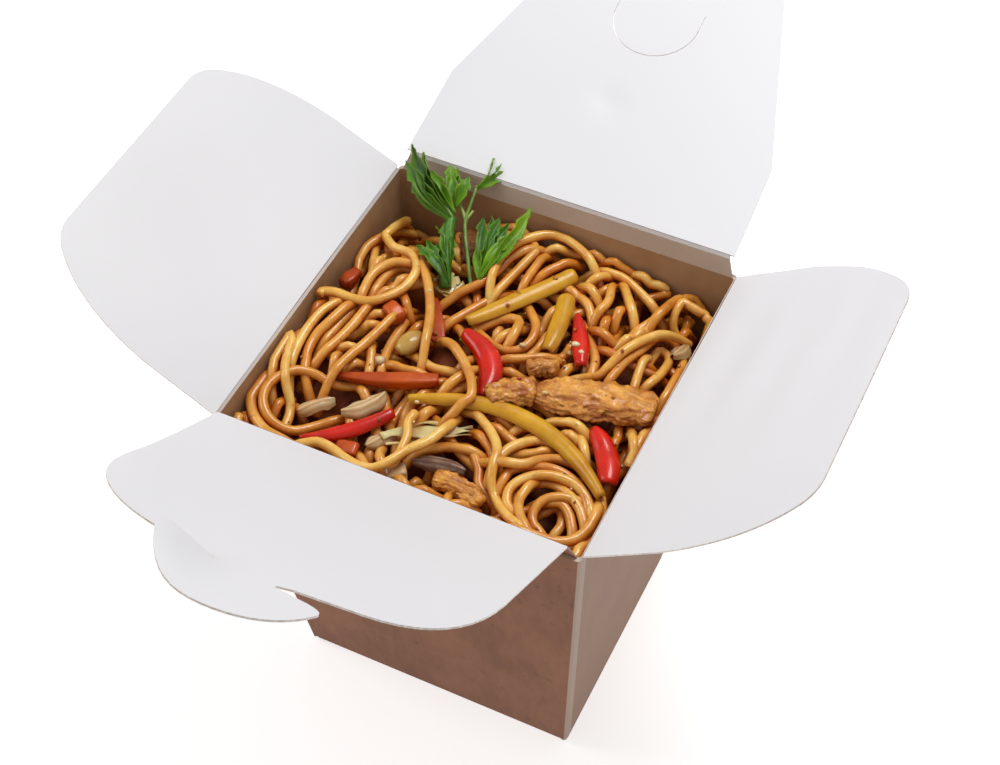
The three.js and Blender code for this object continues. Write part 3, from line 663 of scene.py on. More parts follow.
# Noodles on top, as they lie: pixels of the camera's frame, each with its own height above
# the heap's mean level where a third number stands.
SEEN_NOODLES = {
    "back left hook": (1.5, [(311, 291, 1), (335, 292, 1), (352, 298), (370, 301), (390, 296), (408, 285),
                             (418, 268), (412, 254), (395, 247), (386, 235, -1), (382, 222, -1),
                             (392, 215, -3), (415, 214, -4), (434, 206, -5)]),
    "left fan 1": (-1, [(376, 231), (366, 240), (361, 255), (358, 272), (353, 290)]),
    "left fan 2": (0, [(364, 291), (372, 276), (383, 267), (396, 262), (410, 263)]),
    "left fan 3": (-1.5, [(376, 290), (388, 275), (402, 268), (413, 270)]),
    "left fan 4": (-1.5, [(374, 262), (378, 248), (387, 241)]),
    "left slope 1": (0, [(334, 304), (322, 312), (310, 326), (300, 342), (294, 356)]),
    "left slope 2": (-1.5, [(345, 308), (332, 320), (318, 334), (309, 350), (306, 366)]),
    "left slope 3": (0, [(368, 307), (356, 322), (343, 336), (328, 349)]),
    "left slope 4": (-2, [(352, 312), (342, 322), (328, 338)]),
    "left slope 5": (0.5, [(392, 318), (378, 332), (365, 344), (350, 356), (338, 368)]),
    "left slope 6": (-1, [(404, 326), (396, 338), (388, 352), (383, 366)]),
    "left loop": (2.5, [(274, 366, -3), (275, 352, -2), (279, 340, -0.5), (287, 333), (293, 339), (290, 350),
                        (286, 366), (287, 384), (291, 402), (290, 416), (286, 426, -1)]),
    "front left ring": (1, [(368, 386), (348, 387), (332, 384), (318, 375), (300, 370), (284, 374),
                            (270, 384), (264, 398), (267, 413), (278, 425), (295, 431), (315, 427),
                            (334, 421)]),
    "front left rim": (-0.5, [(262, 377), (254, 390), (252, 403), (256, 417), (266, 430), (280, 438)]),
    "front swing": (0.5, [(302, 444), (318, 442), (332, 448), (345, 458), (360, 466), (375, 468), (392, 460),
                          (408, 450), (428, 442), (444, 430)]),
    "front hook": (0.4, [(416, 413), (409, 422), (408, 436), (402, 450)]),
    "front cross 1": (0, [(440, 424), (450, 438), (458, 450), (468, 460)]),
    "front cross 2": (-1.5, [(428, 450), (448, 447), (470, 450)]),
    "middle down": (1.5, [(424, 265), (429, 285), (431, 305), (430, 322), (427, 338)]),
    "pepper hook": (2, [(456, 348), (465, 362), (472, 380), (472, 396), (464, 402)]),
    "middle short": (0.5, [(422, 360), (434, 368), (456, 373)]),
    "back run 1": (0, [(448, 302), (462, 292), (480, 284), (498, 272), (512, 258), (528, 250)]),
    "back run 2": (-0.5, [(452, 322), (468, 313), (482, 305), (496, 298)]),
    "back arch 1": (1, [(494, 272), (500, 260), (511, 248), (526, 240), (545, 235), (562, 237), (576, 245),
                        (588, 256)]),
    "back arch 2": (-0.5, [(500, 289), (512, 277), (524, 265), (536, 252), (533, 243)]),
    "middle loop": (1.5, [(523, 300), (532, 313), (537, 328), (530, 343), (515, 351), (498, 348),
                          (484, 337)]),
    "middle curl": (-1, [(487, 325), (503, 319), (520, 321), (515, 334)]),
    "right back 1": (-1, [(608, 272), (624, 278), (638, 290), (650, 302)]),
    "right back 2": (0, [(660, 314), (672, 304), (684, 297)]),
    "right arch": (0, [(707, 318), (705, 306), (696, 299), (685, 301), (677, 311), (674, 325), (678, 340)]),
    "right run": (1, [(588, 378), (600, 376), (610, 366), (624, 352), (640, 342), (655, 336)]),
    "right loop": (0.5, [(612, 378), (626, 362), (642, 350), (658, 338), (672, 342), (682, 356), (684, 372),
                         (676, 386), (666, 397)]),
    "right hook": (-1, [(650, 384), (662, 374), (670, 360), (661, 351), (652, 360)]),
    "right down": (1, [(586, 330), (592, 345), (596, 360), (593, 374)]),
    "right short": (-1, [(640, 330), (652, 322), (664, 312)]),
    "nest left": (-2, [(475, 455), (480, 470), (480, 485), (490, 500)]),
    "nest outer": (0.5, [(482, 419), (492, 432), (498, 448), (494, 465), (492, 482), (497, 500), (508, 516),
                         (520, 526)]),
    "nest top": (0, [(497, 461), (508, 450), (524, 443), (542, 441), (558, 447), (572, 452)]),
}

# The nest in the front right corner, from the middle outwards.
NEST = {
    "nest middle": (-4.5, [(548, 512), (556, 508), (563, 514), (562, 526), (556, 534)]),
    "nest ring 1": (-3.5, [(552, 503), (562, 504), (570, 514), (573, 528)]),
    "nest ring 2": (-2.5, [(575, 500), (560, 497), (545, 500), (535, 510), (533, 522), (540, 532)]),
    "nest ring 3": (-1.0, [(592, 512), (586, 496), (574, 484), (558, 477), (540, 475), (522, 480), (510, 490),
                           (508, 504), (516, 515)]),
    "nest ring 4": (-1.0, [(528, 488), (520, 500), (520, 514), (526, 527)]),
    "nest ring 5": (0.0, [(603, 508), (600, 492), (590, 476), (576, 465), (558, 459), (540, 460), (524, 464),
                          (506, 462)]),
    "nest ring 7": (-0.8, [(504, 480), (512, 470), (530, 467), (550, 468), (568, 476), (582, 490),
                           (588, 505)]),
    "nest ring 8": (-2.5, [(521, 492), (536, 484), (554, 485), (569, 494), (580, 508), (584, 520)]),
    "nest ring 6": (-0.5, [(520, 530), (536, 536), (556, 542), (574, 540), (588, 530), (596, 516)]),
}


OVER_TOPPINGS = {"pepper hook", "front hook", "front swing", "middle down", "back left hook", "left slope 5"}

# Noodles with less sauce on them than the rest.
PALE_NOODLES = {"front swing", "front hook", "left loop", "left slope 1", "back left hook", "nest outer",
                "nest top", "back arch 1", "nest ring 3"}

# Noodles whose ends aren't both under others name the ends that are.
HIDDEN_ENDS = {
    "back left hook": ("end",),
    "front hook": ("end",),
}


END_LENGTH, END_GIRTH = 0.35, 0.72     # the rounded end of a noodle


def noodle_mesh(name, strands, material, sides=10):
    """All strands of one kind as one mesh, with their tone, their depth and their painted top light for the
    material.
    """
    parts = Parts()
    # Painted light: how much each point of a ring faces upwards, for a noodle's paler top and shaded sides.
    upward = np.clip(0.5 + 0.75 * np.sin(circle(sides)), 0, 1)
    for path, tone in strands:
        girth = 0.85 + 0.11 * (tone * 13 % 1)
        swelling = [noise.noise(Vector(p) * 0.09) for p in path]
        radii = NOODLE_R * (girth + 0.08 * np.array(swelling))
        path = np.vstack([path[0], path, path[-1]])
        ahead = directions(path[1:-1])
        path[0] -= ahead[0] * END_LENGTH
        path[-1] += ahead[-1] * END_LENGTH
        radii = np.r_[END_GIRTH * radii[0], radii, END_GIRTH * radii[-1]]
        # Depth below the heap's top, for the sauce and painted shade low in the heap.
        depth = (heap_top(path[:, 0], path[:, 1]) - 3 - path[:, 2]) / 9
        parts.tube(path, radii, sides, tone=tone, depth=np.repeat(np.clip(depth, 0, 1), sides), upward=upward)
    return parts.build(name, material)


def heap_base(material):
    """The dark inside of the heap that shows between the noodles."""
    cells, reach_x, reach_y = 40, 48, 47
    inset = BOARD + 0.12
    gx, gy = np.meshgrid(*[np.linspace(-1, 1, cells + 1)] * 2)
    levels = heap_top(gx * reach_x, gy * reach_y) - FILL_FLOOR, np.full(gx.shape, BOARD + 0.2)
    layers = [np.stack([gx * (half_x(z) - inset), gy * (half_y(z) - inset), z], -1) for z in levels]
    points = np.stack(layers).reshape(-1, 3)
    return mesh_object("heap_base", points, sheet_faces(cells + 1, cells + 1), material, smooth=False)


# ---------------------------------------------------------------- toppings

# name: (slot, start, end, (width, height), bow, lift)
TOPPINGS = {
    "red_pepper_1": ("red_pepper", (-8, 5.5), (5, -11.5), (7, 2.8), 4.4, 1.4),
    "red_pepper_2": ("red_pepper", (-30.4, -42.2), (-13, -25), (4.6, 2.4), -1.4, 0.8),
    "red_pepper_3": ("red_pepper", (35, -8.6), (45, -22.5), (6, 2.6), 1.5, 1.4),
    "red_pepper_4": ("red_pepper", (15.5, 24.5), (23.5, 9), (4.6, 2.4), 0.4, 1.0),
    "yellow_pepper_1": ("yellow_pepper", (-11, -20.5), (45.2, -27), (5.4, 2.6), 10.5, 2.0),
    "yellow_pepper_2": ("yellow_pepper", (-9.4, 9.4), (8.8, 37.4), (5, 2.4), -0.4, 1.6),
    "yellow_pepper_3": ("yellow_pepper", (10.2, 29.6), (13.4, 10), (5.4, 2.2), 0.6, 1.0),
    "carrot_1": ("carrot", (-29.7, 4.4), (-25, 1.6), (4.6, 4.2), 0, 1.6),
    "carrot_2": ("carrot", (-31, -21.3), (-7, -11.4), (3.8, 3.2), -0.8, 1.2),
    "carrot_3": ("carrot", (-21, -40.5), (-15.5, -39.3), (4.6, 3.2), 0, 0),
    "carrot_4": ("carrot", (-45.5, 8), (-44.5, 14), (3.6, 3.4), 0, 0),
    "carrot_5": ("carrot", (-21.5, 14.5), (-13.5, 1.5), (5, 2.2), -0.8, 0),
    "chicken_1": ("chicken", (6.4, -11.6), (17.4, -4.4), (8, 5.2), 0.6, 0.8),
    "chicken_2": ("chicken", (17, -5.4), (47.1, 2.4), (12, 5.6), 0.8, 0.8),
    "chicken_3": ("chicken", (12, 1.4), (19, 4.6), (5, 4.4), 0.8, 0.6),
    "chicken_4": ("chicken", (5.4, -38.4), (19.4, -40.6), (5.4, 4), 0.8, 0),
    "mushroom_1": ("mushroom", (-20.6, -7.6), (-17.8, 0), (5.6, 4.4), 0, 0.8),
    "onion_1": ("onion", (-25, -30.5), (-17.5, -20.5), (4.8, 2), -1.2, 1.0),
    "onion_2": ("purple_onion", (-2, -36), (11.5, -33.5), (5, 2), 1, 0.4),
    "onion_3": ("onion", (-35.3, -34.6), (-28.4, -27.4), (4.6, 2), 0.6, 0),
    "onion_4": ("onion", (42.5, 24.5), (43.5, 33), (4.2, 2), -0.6, 0),
    "cabbage_1": ("cabbage", (-10.8, -34.2), (7.6, -21.4), (4.4, 1.8), 1.4, 1.6),
    "cabbage_2": ("cabbage", (-22, 17.5), (-18.6, 23.5), (5.2, 2), 0, 0),
    "meat_1": ("meat", (-25.5, 43), (-18.5, 30.5), (6.4, 3.6), 1, 0),
    "onion_5": ("onion", (-14.6, -36.8), (-9.4, -30), (4, 1.6), 0.5, 0.4),
    "garlic_1": ("onion", (-6.1, -42.6), (-1.8, -39.4), (4.4, 3.6), 0, 0),
}


def topping_path(start, end, height, bow, lift, step=0.8):
    """The bowed line that a topping follows on the heap, as in the solids."""
    (x0, y0), (x1, y1) = start, end
    length = math.hypot(x1 - x0, y1 - y0)
    u = np.linspace(0, 1, max(6, int((length + abs(bow)) / step)))
    offset = 4 * bow * u * (1 - u)
    x = x0 + (x1 - x0) * u - (y1 - y0) / length * offset
    y = y0 + (y1 - y0) * u + (x1 - x0) / length * offset
    z = core_top(x, y) + FOOD_GAP + 0.5 + height / 2 + lift
    return np.column_stack([x, y, z])


def uneven(u, seed, rate=3.0):
    """A smooth random value between about -1 and 1 along a piece."""
    return noise.noise(Vector((u * rate, seed * 7.3, 0.5))) * 1.6


# How narrow the ends of a topping are, as (start, end) shares of its width, where they aren't square.
TAPERS = {
    "red_pepper_1": (0.55, 0.45),
    "red_pepper_2": (0.35, 0.7),
    "red_pepper_3": (0.6, 0.8),
    "red_pepper_4": (0.5, 0.7),
    "yellow_pepper_1": (0.45, 0.5),
    "yellow_pepper_2": (0.6, 0.95),
    "yellow_pepper_3": (0.85, 0.6),
    "carrot_2": (0.35, 0.8),
    "carrot_5": (0.4, 0.7),
    "chicken_2": (0.66, 0.95),
    "cabbage_1": (0.7, 0.2),
}


def taper(name, u):
    """Share of the full width at a place along a topping, 1 in its middle."""
    start, end = TAPERS.get(name, (1, 1))
    return 1 - (1 - start) * (1 - min(1, u / 0.45)) ** 1.5 - (1 - end) * (1 - min(1, (1 - u) / 0.45)) ** 1.5


def squared(values, power):
    """The sine or cosine of a round section, pushed outwards to make the section squarer."""
    return np.sign(values) * np.abs(values) ** power


def pepper_strip(name, path, width, height, seed):
    """A cut strip of pepper: arched skin above, hollow flesh below, cut ends."""
    angle = circle(28)
    a, b = squared(np.cos(angle), 0.55), squared(np.sin(angle), 0.6)

    def section(u):
        full = 1 - 0.16 * math.exp(-min(u, 1 - u) * len(path) / 0.7)
        half = width / 2 * full * taper(name, u) * (1 + 0.08 * uneven(u, seed, 2.5))
        thick = 0.55 * height * full * (0.6 + 0.4 * taper(name, u))
        arch = 0.50 * height * (1 - a**2) - 0.15 * height + 0.2 * uneven(u, seed + 5, 3)
        rib = 0.10 * height * np.exp(-((a - 0.3) ** 2) / 0.02) * (b > 0)
        return half * a, arch + thick / 2 * b - rib

    rim = np.exp(-((angle - math.radians(168)) / 0.16) ** 2)
    skin = np.clip(0.5 + 1.2 * np.sin(angle) - rim, 0, 1)
    return Parts().sweep(path, section, 14 * math.sin(seed), skin)


def cut_stick(name, path, width, height, seed):
    """A stick or dice with four flat sides and knife-cut ends."""
    angle = circle(24)
    a, b = squared(np.cos(angle), 0.4), squared(np.sin(angle), 0.4)

    def section(u):
        full = (1 - 0.15 * math.exp(-min(u, 1 - u) * len(path) / 0.8)) * taper(name, u)
        return (width / 2 * full * (1 + 0.12 * uneven(u, seed)) * a,
                height / 2 * full * (1 + 0.12 * uneven(u, seed + 3)) * b)

    return Parts().sweep(path, section, 20 * math.sin(seed + 1))


# The unevenness of torn meat, from lumps to fine grain: (rate along, rate round, strength).
MEAT_GRAIN = ((7.5, 1.1, 0.27), (5.0, 3.4, 0.21), (22.0, 8, 0.13))


def torn_meat(name, path, width, height, seed):
    """A torn strip of meat: ridges of fibres along it, lumps across it and ragged ends."""
    ring = [(math.cos(t), math.sin(t)) for t in circle(72)]
    a, b = np.array(ring).T

    def grain(u, x, y):
        return sum(share * noise.noise(Vector((u * along + seed, around * x, around * y)))
                   for along, around, share in MEAT_GRAIN)

    def section(u):
        full = (0.55 + 0.45 * min(1, min(u, 1 - u) * 11) ** 0.5) * taper(name, u)
        radius = full * np.array([0.96 + grain(u, x, y) for x, y in ring])
        return width / 2 * radius * a, height / 2 * radius * b

    return Parts().sweep(resampled(path, 0.4), section, 30 * math.sin(seed))


def soft_slice(name, path, width, height, seed):
    """A limp, curved layer of onion, thin at its edges, with ribs along it."""
    a, b = np.cos(circle(60)), np.sin(circle(60))
    ribs = np.cos(11 * a + seed)

    def section(u):
        full = (0.30 + 0.70 * min(1, min(u, 1 - u) * 3.6) ** 0.7) * taper(name, u)
        half = width / 2 * full * (1 + 0.14 * uneven(u, seed, 3.5))
        arch = height * (0.80 * (1 - a**2) - 0.35 + 0.20 * a * uneven(u, seed + 2, 5))
        return half * a, arch + 0.20 * height * full * (1 + 0.22 * ribs) * b

    streaks = np.clip(0.62 + 0.38 * ribs, 0, 1)
    return Parts().sweep(resampled(path, 0.5), section, 24 * math.sin(seed + 2), streaks)


def plump_piece(name, path, width, height, seed):
    """A smooth, rounded piece, thickest in its middle."""
    a, b = np.cos(circle(32)), np.sin(circle(32))

    def section(u):
        full = 0.25 + 0.75 * math.sin(math.pi * min(max(u, 0.03), 0.97)) ** 0.45
        return width / 2 * full * (1 + 0.10 * uneven(u, seed, 2)) * a, height / 2 * full * b

    return Parts().sweep(resampled(path, 0.35), section, 10)


# Shreds side by side: (place across, half width, rise), as shares of the piece's width and height.
SHREDS = ((-0.04, 0.42, 0.0), (0.42, 0.10, 0.25), (-0.46, 0.12, -0.1))


def cabbage_strands(name, path, width, height, seed):
    """One broad shred of cabbage with thin ones beside it, which part and cross a little."""
    side = np.cross(directions(path), UP)
    a, b = np.cos(circle(14)), np.sin(circle(14))
    parts = Parts()
    for k, (place, share, rise) in enumerate(SHREDS):
        sway = np.array([[0.30 * uneven(u, seed + 3 * k, 3)] for u in np.linspace(0, 1, len(path))])

        def section(u, k=k, share=share):
            half = share * width * taper(name, u) * (1 + 0.25 * uneven(u, seed + k, 4))
            fold = 0.30 * height * a * uneven(u, seed + k + 9, 5)
            return half * a, 0.20 * height * taper(name, u) * b + fold

        parts.sweep(path + side * width * (place + sway) + UP * height * rise, section)
    return parts


# Slot: (form, dark colour, light colour, flesh or crust, and what else the material takes).
TOPPING_KINDS = {
    "red_pepper": (pepper_strip, (0.50, 0.006, 0.001), (0.80, 0.018, 0.001), (0.66, 0.07, 0.012), 0.22, 0.4),
    "yellow_pepper": (pepper_strip, (0.50, 0.22, 0.005), (0.80, 0.44, 0.020), (0.86, 0.60, 0.16)),
    "carrot": (cut_stick, (0.34, 0.030, 0.001), (0.62, 0.10, 0.003), None, 0.30, 0.22),
    "chicken": (torn_meat, (0.44, 0.12, 0.010), (0.94, 0.46, 0.085), (0.44, 0.11, 0.008)),
    "meat": (torn_meat, (0.16, 0.045, 0.012), (0.42, 0.17, 0.05), (0.09, 0.02, 0.006)),
    "mushroom": (plump_piece, (0.48, 0.27, 0.05), (0.70, 0.46, 0.13), None, 0.2, 0.3, 0.2),
    "onion": (soft_slice, (0.54, 0.35, 0.15), (0.86, 0.70, 0.42), (0.50, 0.26, 0.09), 0.16, 0.45, 0.4),
    "purple_onion": (soft_slice, (0.15, 0.075, 0.045), (0.50, 0.38, 0.28), (0.12, 0.035, 0.02),
                     0.14, 0.5, 0.3, 220),
    "cabbage": (cabbage_strands, (0.66, 0.46, 0.12), (0.90, 0.80, 0.45), None, 0.18, 0.4, 0.35),
}

# Pieces that are cut differently from the others of their material.
OWN_FORMS = {"garlic_1": cut_stick}


def make_toppings(pile):
    materials = {slot: (fried_meat if form is torn_meat else vegetable)(slot, *look)
                 for slot, (form, *look) in TOPPING_KINDS.items()}
    for seed, (name, (slot, start, end, (width, height), bow, lift)) in enumerate(TOPPINGS.items()):
        path = topping_path(start, end, height, bow, lift)
        form = OWN_FORMS.get(name, TOPPING_KINDS[slot][0])
        piece = form(name, path, width, height, seed).build(name + "_food", materials[slot])
        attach(piece, "box")
        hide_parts(name)
        side = np.cross(directions(path), UP)
        ball = min(width, height) / 2
        for across in (-0.5, 0, 0.5):
            pile.add_topping(path + side * across * (width - 2 * ball), ball)


# ---------------------------------------------------------------- crumbs

CRUMB_COUNT = 50
CRUMB_REACH = (46, 45)     # half the width and depth of the area that they are strewn over

# Pale bits of garlic and onion that show one by one: pixel and half size in mm.
PALE_BITS = {
    "round piece by the carrot": ((381, 360), (1.5, 1.5, 1.2)),
    "grain by the hook 1": ((436, 280), (0.9, 0.7, 0.6)),
    "grain by the hook 2": ((431, 291), (0.8, 0.6, 0.6)),
    "flake by the red strip 1": ((577, 344), (1.5, 1.0, 0.6)),
    "flake by the red strip 2": ((571, 353), (1.2, 0.9, 0.6)),
    "flake by the red strip 3": ((582, 352), (1.0, 0.8, 0.5)),
    "flake behind the chicken": ((524, 345), (1.2, 0.8, 0.6)),
    "grain on the carrot": ((418, 402), (0.8, 0.6, 0.5)),
}


def surface(balls, xy):
    """Level of the food's top over a point, and the ball that is uppermost there."""
    room = balls[:, 3] ** 2 - ((balls[:, :2] - xy) ** 2).sum(1)
    over = np.where(room > 0, balls[:, 2] + np.sqrt(np.maximum(room, 0)), -FAR)
    return over.max(), balls[over.argmax()]


def small_ball():
    """Corners and faces of a twenty-sided ball."""
    g = (1 + math.sqrt(5)) / 2
    corners = np.array([(-1, g, 0), (1, g, 0), (-1, -g, 0), (1, -g, 0), (0, -1, g), (0, 1, g),
                        (0, -1, -g), (0, 1, -g), (g, 0, -1), (g, 0, 1), (-g, 0, -1), (-g, 0, 1)])
    faces = [(0, 11, 5), (0, 5, 1), (0, 1, 7), (0, 7, 10), (0, 10, 11), (1, 5, 9), (5, 11, 4), (11, 10, 2),
             (10, 7, 6), (7, 1, 8), (3, 9, 4), (3, 4, 2), (3, 2, 6), (3, 6, 8), (3, 8, 9), (4, 9, 5),
             (2, 4, 11), (6, 2, 10), (8, 6, 7), (9, 8, 1)]
    return corners / np.linalg.norm(corners[0]), faces


CRUMB_CORNERS, CRUMB_FACES = small_ball()

# name: (dark colour, light colour, gloss, share of the crumbs)
CRUMBS = {
    "pale_crumb": ((0.70, 0.50, 0.22), (0.90, 0.74, 0.45), 0.2, 0.42),
    "brown_crumb": ((0.34, 0.10, 0.015), (0.62, 0.24, 0.04), 0.3, 0.46),
    "red_crumb": ((0.50, 0.02, 0.004), (0.75, 0.10, 0.01), 0.3, 0.06),
    "green_crumb": ((0.05, 0.16, 0.01), (0.20, 0.34, 0.04), 0.2, 0.06),
}


def make_crumbs(pile, rng):
    """Small bits of garlic, crust and vegetable that stick to the top of the food."""
    balls = np.vstack([pile.carrying, pile.covering, pile.toppings])
    made = {name: Parts() for name in CRUMBS}

    def add_crumb(name, centre, half_sizes):
        uneven_ball = CRUMB_CORNERS * half_sizes * rng.uniform(0.8, 1.15, (len(CRUMB_CORNERS), 1))
        made[name].add(centre + uneven_ball, CRUMB_FACES)

    for _ in range(CRUMB_COUNT):
        xy = np.array([rng.uniform(-half, half) for half in CRUMB_REACH])
        top, ball = surface(balls, xy)
        if top < 0:
            continue
        outward = np.array([*xy, top]) - ball[:3]
        outward /= np.linalg.norm(outward)
        size = 0.3 + 0.5 * rng.uniform() ** 2
        centre = np.array([*xy, top]) + outward * size * 0.25
        centre[2] = min(centre[2], HIGHEST_Z - 1.3 * size)
        name = rng.choice(list(CRUMBS), p=[share for *_, share in CRUMBS.values()])
        add_crumb(name, centre, size * rng.uniform(0.6, 1.3, 3))
    for pixel, half_sizes in PALE_BITS.values():
        centre = seen_at(pixel, HEAP_Z)
        for _ in range(8):
            level = min(surface(balls, centre[:2])[0], HIGHEST_Z - half_sizes[2]) + 0.3 * half_sizes[2]
            centre = seen_at(pixel, 0.5 * centre[2] + 0.5 * max(level, HEAP_Z - 8))
        add_crumb("pale_crumb", centre, half_sizes)
    for name, (dark, light, gloss, _) in CRUMBS.items():
        piece = made[name].build(name + "s", vegetable(name, dark, light, None, 0.3, gloss))
        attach(piece, "box")


# ---------------------------------------------------------------- parsley

# Leaves split into toothed fingers. Places are (pixel x, pixel y, height): a foot and the finger
# tips; then the width of a finger in mm and the shade of the leaf from 0, dark, to 1, light.
LEAVES = {
    "tall left": ((454, 222, 116), [(413, 144, 123.5), (406, 160, 121.5), (412, 174, 119.5)], 5.2, 0.10),
    "tall left edge": ((456, 214, 116.5), [(424, 152, 122.5), (432, 170, 120)], 4.2, 0.65),
    "middle": ((456, 208, 116.5), [(451, 164, 121), (459, 168, 121), (470, 177, 120.5)], 4.4, 0.75),
    "small right": ((476, 190, 118), [(495, 158, 121.5), (504, 163, 121), (509, 171, 120)], 3.4, 0.55),
    "low right back": ((482, 270, 111),
                       [(484, 217, 115.5), (493, 215, 116), (501, 217, 116), (510, 223, 115)], 3.8, 0.0),
    "low right": ((480, 280, 110.5), [(488, 240, 113.5), (514, 233, 114.5), (533, 207, 117)], 4.4, 0.9),
    "low left": ((450, 284, 110.5), [(417, 245, 113.5), (428, 240, 114), (438, 244, 114)], 4.2, 0.05),
    "low middle": ((450, 272, 110.5), [(437, 226, 114.5), (446, 220, 115.5), (454, 236, 114)], 4.0, 0.2),
}

# Stalks as places, (foot radius, end radius) and shade.
STALKS = {
    "thick": ([(446, 288, 108), (447, 262, 111.5), (449, 238, 114), (453, 218, 116)], (1.7, 1.3), 0.0),
    "rib": ([(453, 218, 116), (440, 194, 118.5), (427, 172, 121)], (0.7, 0.3), 0.4),
    "thin": ([(472, 286, 108), (468, 252, 112), (466, 224, 114.5), (471, 206, 116.5), (478, 186, 118.5)],
             (0.6, 0.4), 0.5),
    "curl": ([(467, 222, 114.6), (464, 212, 115.4), (461, 204, 116), (464, 196, 117.2)], (0.55, 0.35), 1.0),
    "twig": ([(467, 220, 114.8), (474, 211, 115.6)], (0.45, 0.35), 1.0),
    "low right": ([(478, 288, 108), (484, 268, 111.5), (496, 248, 113.2), (510, 236, 114.2)],
                  (0.7, 0.35), 0.8),
}


BLADE_ROWS, BLADE_COLUMNS = 18, 7


def finger(foot, tip, width, face, rng):
    """One finger of a leaf: a thin wavy blade, narrow at its foot, with teeth near its tip."""
    axis = tip - foot
    length = np.linalg.norm(axis)
    ahead = axis / length
    side = np.cross(face, ahead)
    side /= np.linalg.norm(side)
    normal = np.cross(ahead, side)
    u = np.linspace(0, 1, BLADE_ROWS)[:, None]
    v = np.linspace(-1, 1, BLADE_COLUMNS)[None, :]
    swelling = 0.22 + 0.78 * np.sin(np.pi * u**1.5) ** 0.9
    tip_fade = np.clip((1 - u) * 4, 0.04, 1)
    teeth = 1 - 0.5 * ((u * 4 + 0.3 * np.sign(v)) % 1.0) * (u > 0.45)
    half = width / 2 * np.minimum(swelling, tip_fade) * teeth
    forward = 0.22 * width * np.abs(v) * (u > 0.45) * (1 - u)
    phase = rng.uniform(0, 6.28)
    fold = 0.28 * width * v**2 * np.sin(np.pi * u)
    wave = fold + 0.06 * width * np.sin(9 * u + 2.5 * v + phase) + 0.10 * length * np.sin(np.pi * u)
    grid = (foot + (u * length + forward)[..., None] * ahead + (half * v)[..., None] * side
            + wave[..., None] * normal)
    return np.vstack([grid.reshape(-1, 3), (grid - 0.2 * normal).reshape(-1, 3)])


def make_parsley(rng):
    leaves, stalks = Parts(), Parts()
    edge = np.abs(np.linspace(-1, 1, BLADE_COLUMNS))
    faces = sheet_faces(BLADE_ROWS, BLADE_COLUMNS)
    for foot, tips, width, shade in LEAVES.values():
        for tip in tips:
            face = BACK + rng.normal(0, 0.35, 3)
            points = finger(seen_at(foot[:2], foot[2]), seen_at(tip[:2], tip[2]), width, face, rng)
            leaves.add(points, faces, edge=edge, shade=np.clip(shade + rng.uniform(-0.1, 0.1), 0, 1))
    for places, (thick, thin), shade in STALKS.values():
        path = smooth_route([seen_at(place[:2], place[2]) for place in places], 0.8)
        stalks.tube(path, np.linspace(thick, thin, len(path)), 10, shade=shade)
    leaves = leaves.build("parsley_leaves", leaf_material())
    stalks = stalks.build("parsley_stalks", stalk_material())
    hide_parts("parsley_sprig")
    for piece in (leaves, stalks):
        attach(piece, "box")
        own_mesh(piece)


# ---------------------------------------------------------------- stage and light

FLOOR_HALF, FLOOR_Z = 4000.0, -0.3
FLOOR_GLOW, SKY_GLOW = 0.6, 0.38
LIGHT_AIM = (0, 0, 100)

# name: (place, size, power)
LIGHTS = {"key": ((60, 310, 725), 300, 2.85), "fill": ((-700, -200, 700), 420, 1.9)}


def make_stage():
    white = Shader("floor").set(Base_Color=(0.9, 0.9, 0.9), Roughness=0.9,
                                Emission_Color=(1, 1, 1), Emission_Strength=FLOOR_GLOW)
    corners = [(x * FLOOR_HALF, y * FLOOR_HALF, FLOOR_Z) for x, y in ((-1, -1), (1, -1), (1, 1), (-1, 1))]
    mesh_object("floor", corners, [(0, 1, 2, 3)], white)


def make_light():
    world = bpy.data.worlds.new("world")
    world.use_nodes = True
    background = world.node_tree.nodes["Background"]
    background.inputs["Color"].default_value = (1, 1, 1, 1)
    background.inputs["Strength"].default_value = SKY_GLOW
    bpy.context.scene.world = world
    for name, (place, size, power) in LIGHTS.items():
        data = bpy.data.lights.new(name, "AREA")
        data.energy = power
        data.size = size * MM
        light = bpy.data.objects.new(name, data)
        light.location = Vector(place) * MM
        light.rotation_euler = (Vector(LIGHT_AIM) - Vector(place)).to_track_quat("-Z", "Y").to_euler()
        bpy.context.scene.collection.objects.link(light)
    bpy.context.scene.view_settings.view_transform = "Standard"


# ---------------------------------------------------------------- scene

def make_food():
    rng = np.random.default_rng(11)
    pile = Pile()
    noodle = noodle_material()
    base = heap_base(sauce_material())
    make_toppings(pile)
    seen = []
    for name, (lift, pixels) in sorted({**SEEN_NOODLES, **NEST}.items(), key=lambda item: item[1][0]):
        hidden_ends = HIDDEN_ENDS.get(name, ("start", "end"))
        path = seen_noodle(pile, pixels, lift, hidden_ends, name in OVER_TOPPINGS)
        tone = rng.uniform(0, 0.7)
        seen.append((path, 0.1 * tone if name in PALE_NOODLES else 0.15 + tone))
    loose = fill_heap(pile, rng)
    make_crumbs(pile, rng)
    loose_piece = noodle_mesh("loose_noodles", loose, noodle)
    top_piece = noodle_mesh("top_noodles", seen, noodle, 14)
    for piece in (loose_piece, top_piece, base):
        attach(piece, "box")
    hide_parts("noodles")


def quadratic(a, b, c, count=10):
    """Points of a quadratic curve after its start a, with control point b and end c."""
    u = np.linspace(0, 1, count + 1)[1:, None]
    a, b, c = (np.array(v, float) for v in (a, b, c))
    return [tuple(q) for q in (1 - u) ** 2 * a + 2 * u * (1 - u) * b + u**2 * c]


def side_flap_outline():
    length, root, knee, knee_inset, end_inset = 58.4, 1.0, 22.0, 1.6, 17.3
    half = TOP_X / 2
    end = half - end_inset
    right = [(half - root, 0.0), (half - knee_inset, knee)]
    right += quadratic(right[-1], (half - 3.6, 0.76 * length), (end + 3.4, length - 3.2))
    right += quadratic(right[-1], (end, length), (end - 4.5, length), 6)
    return mirrored(right)


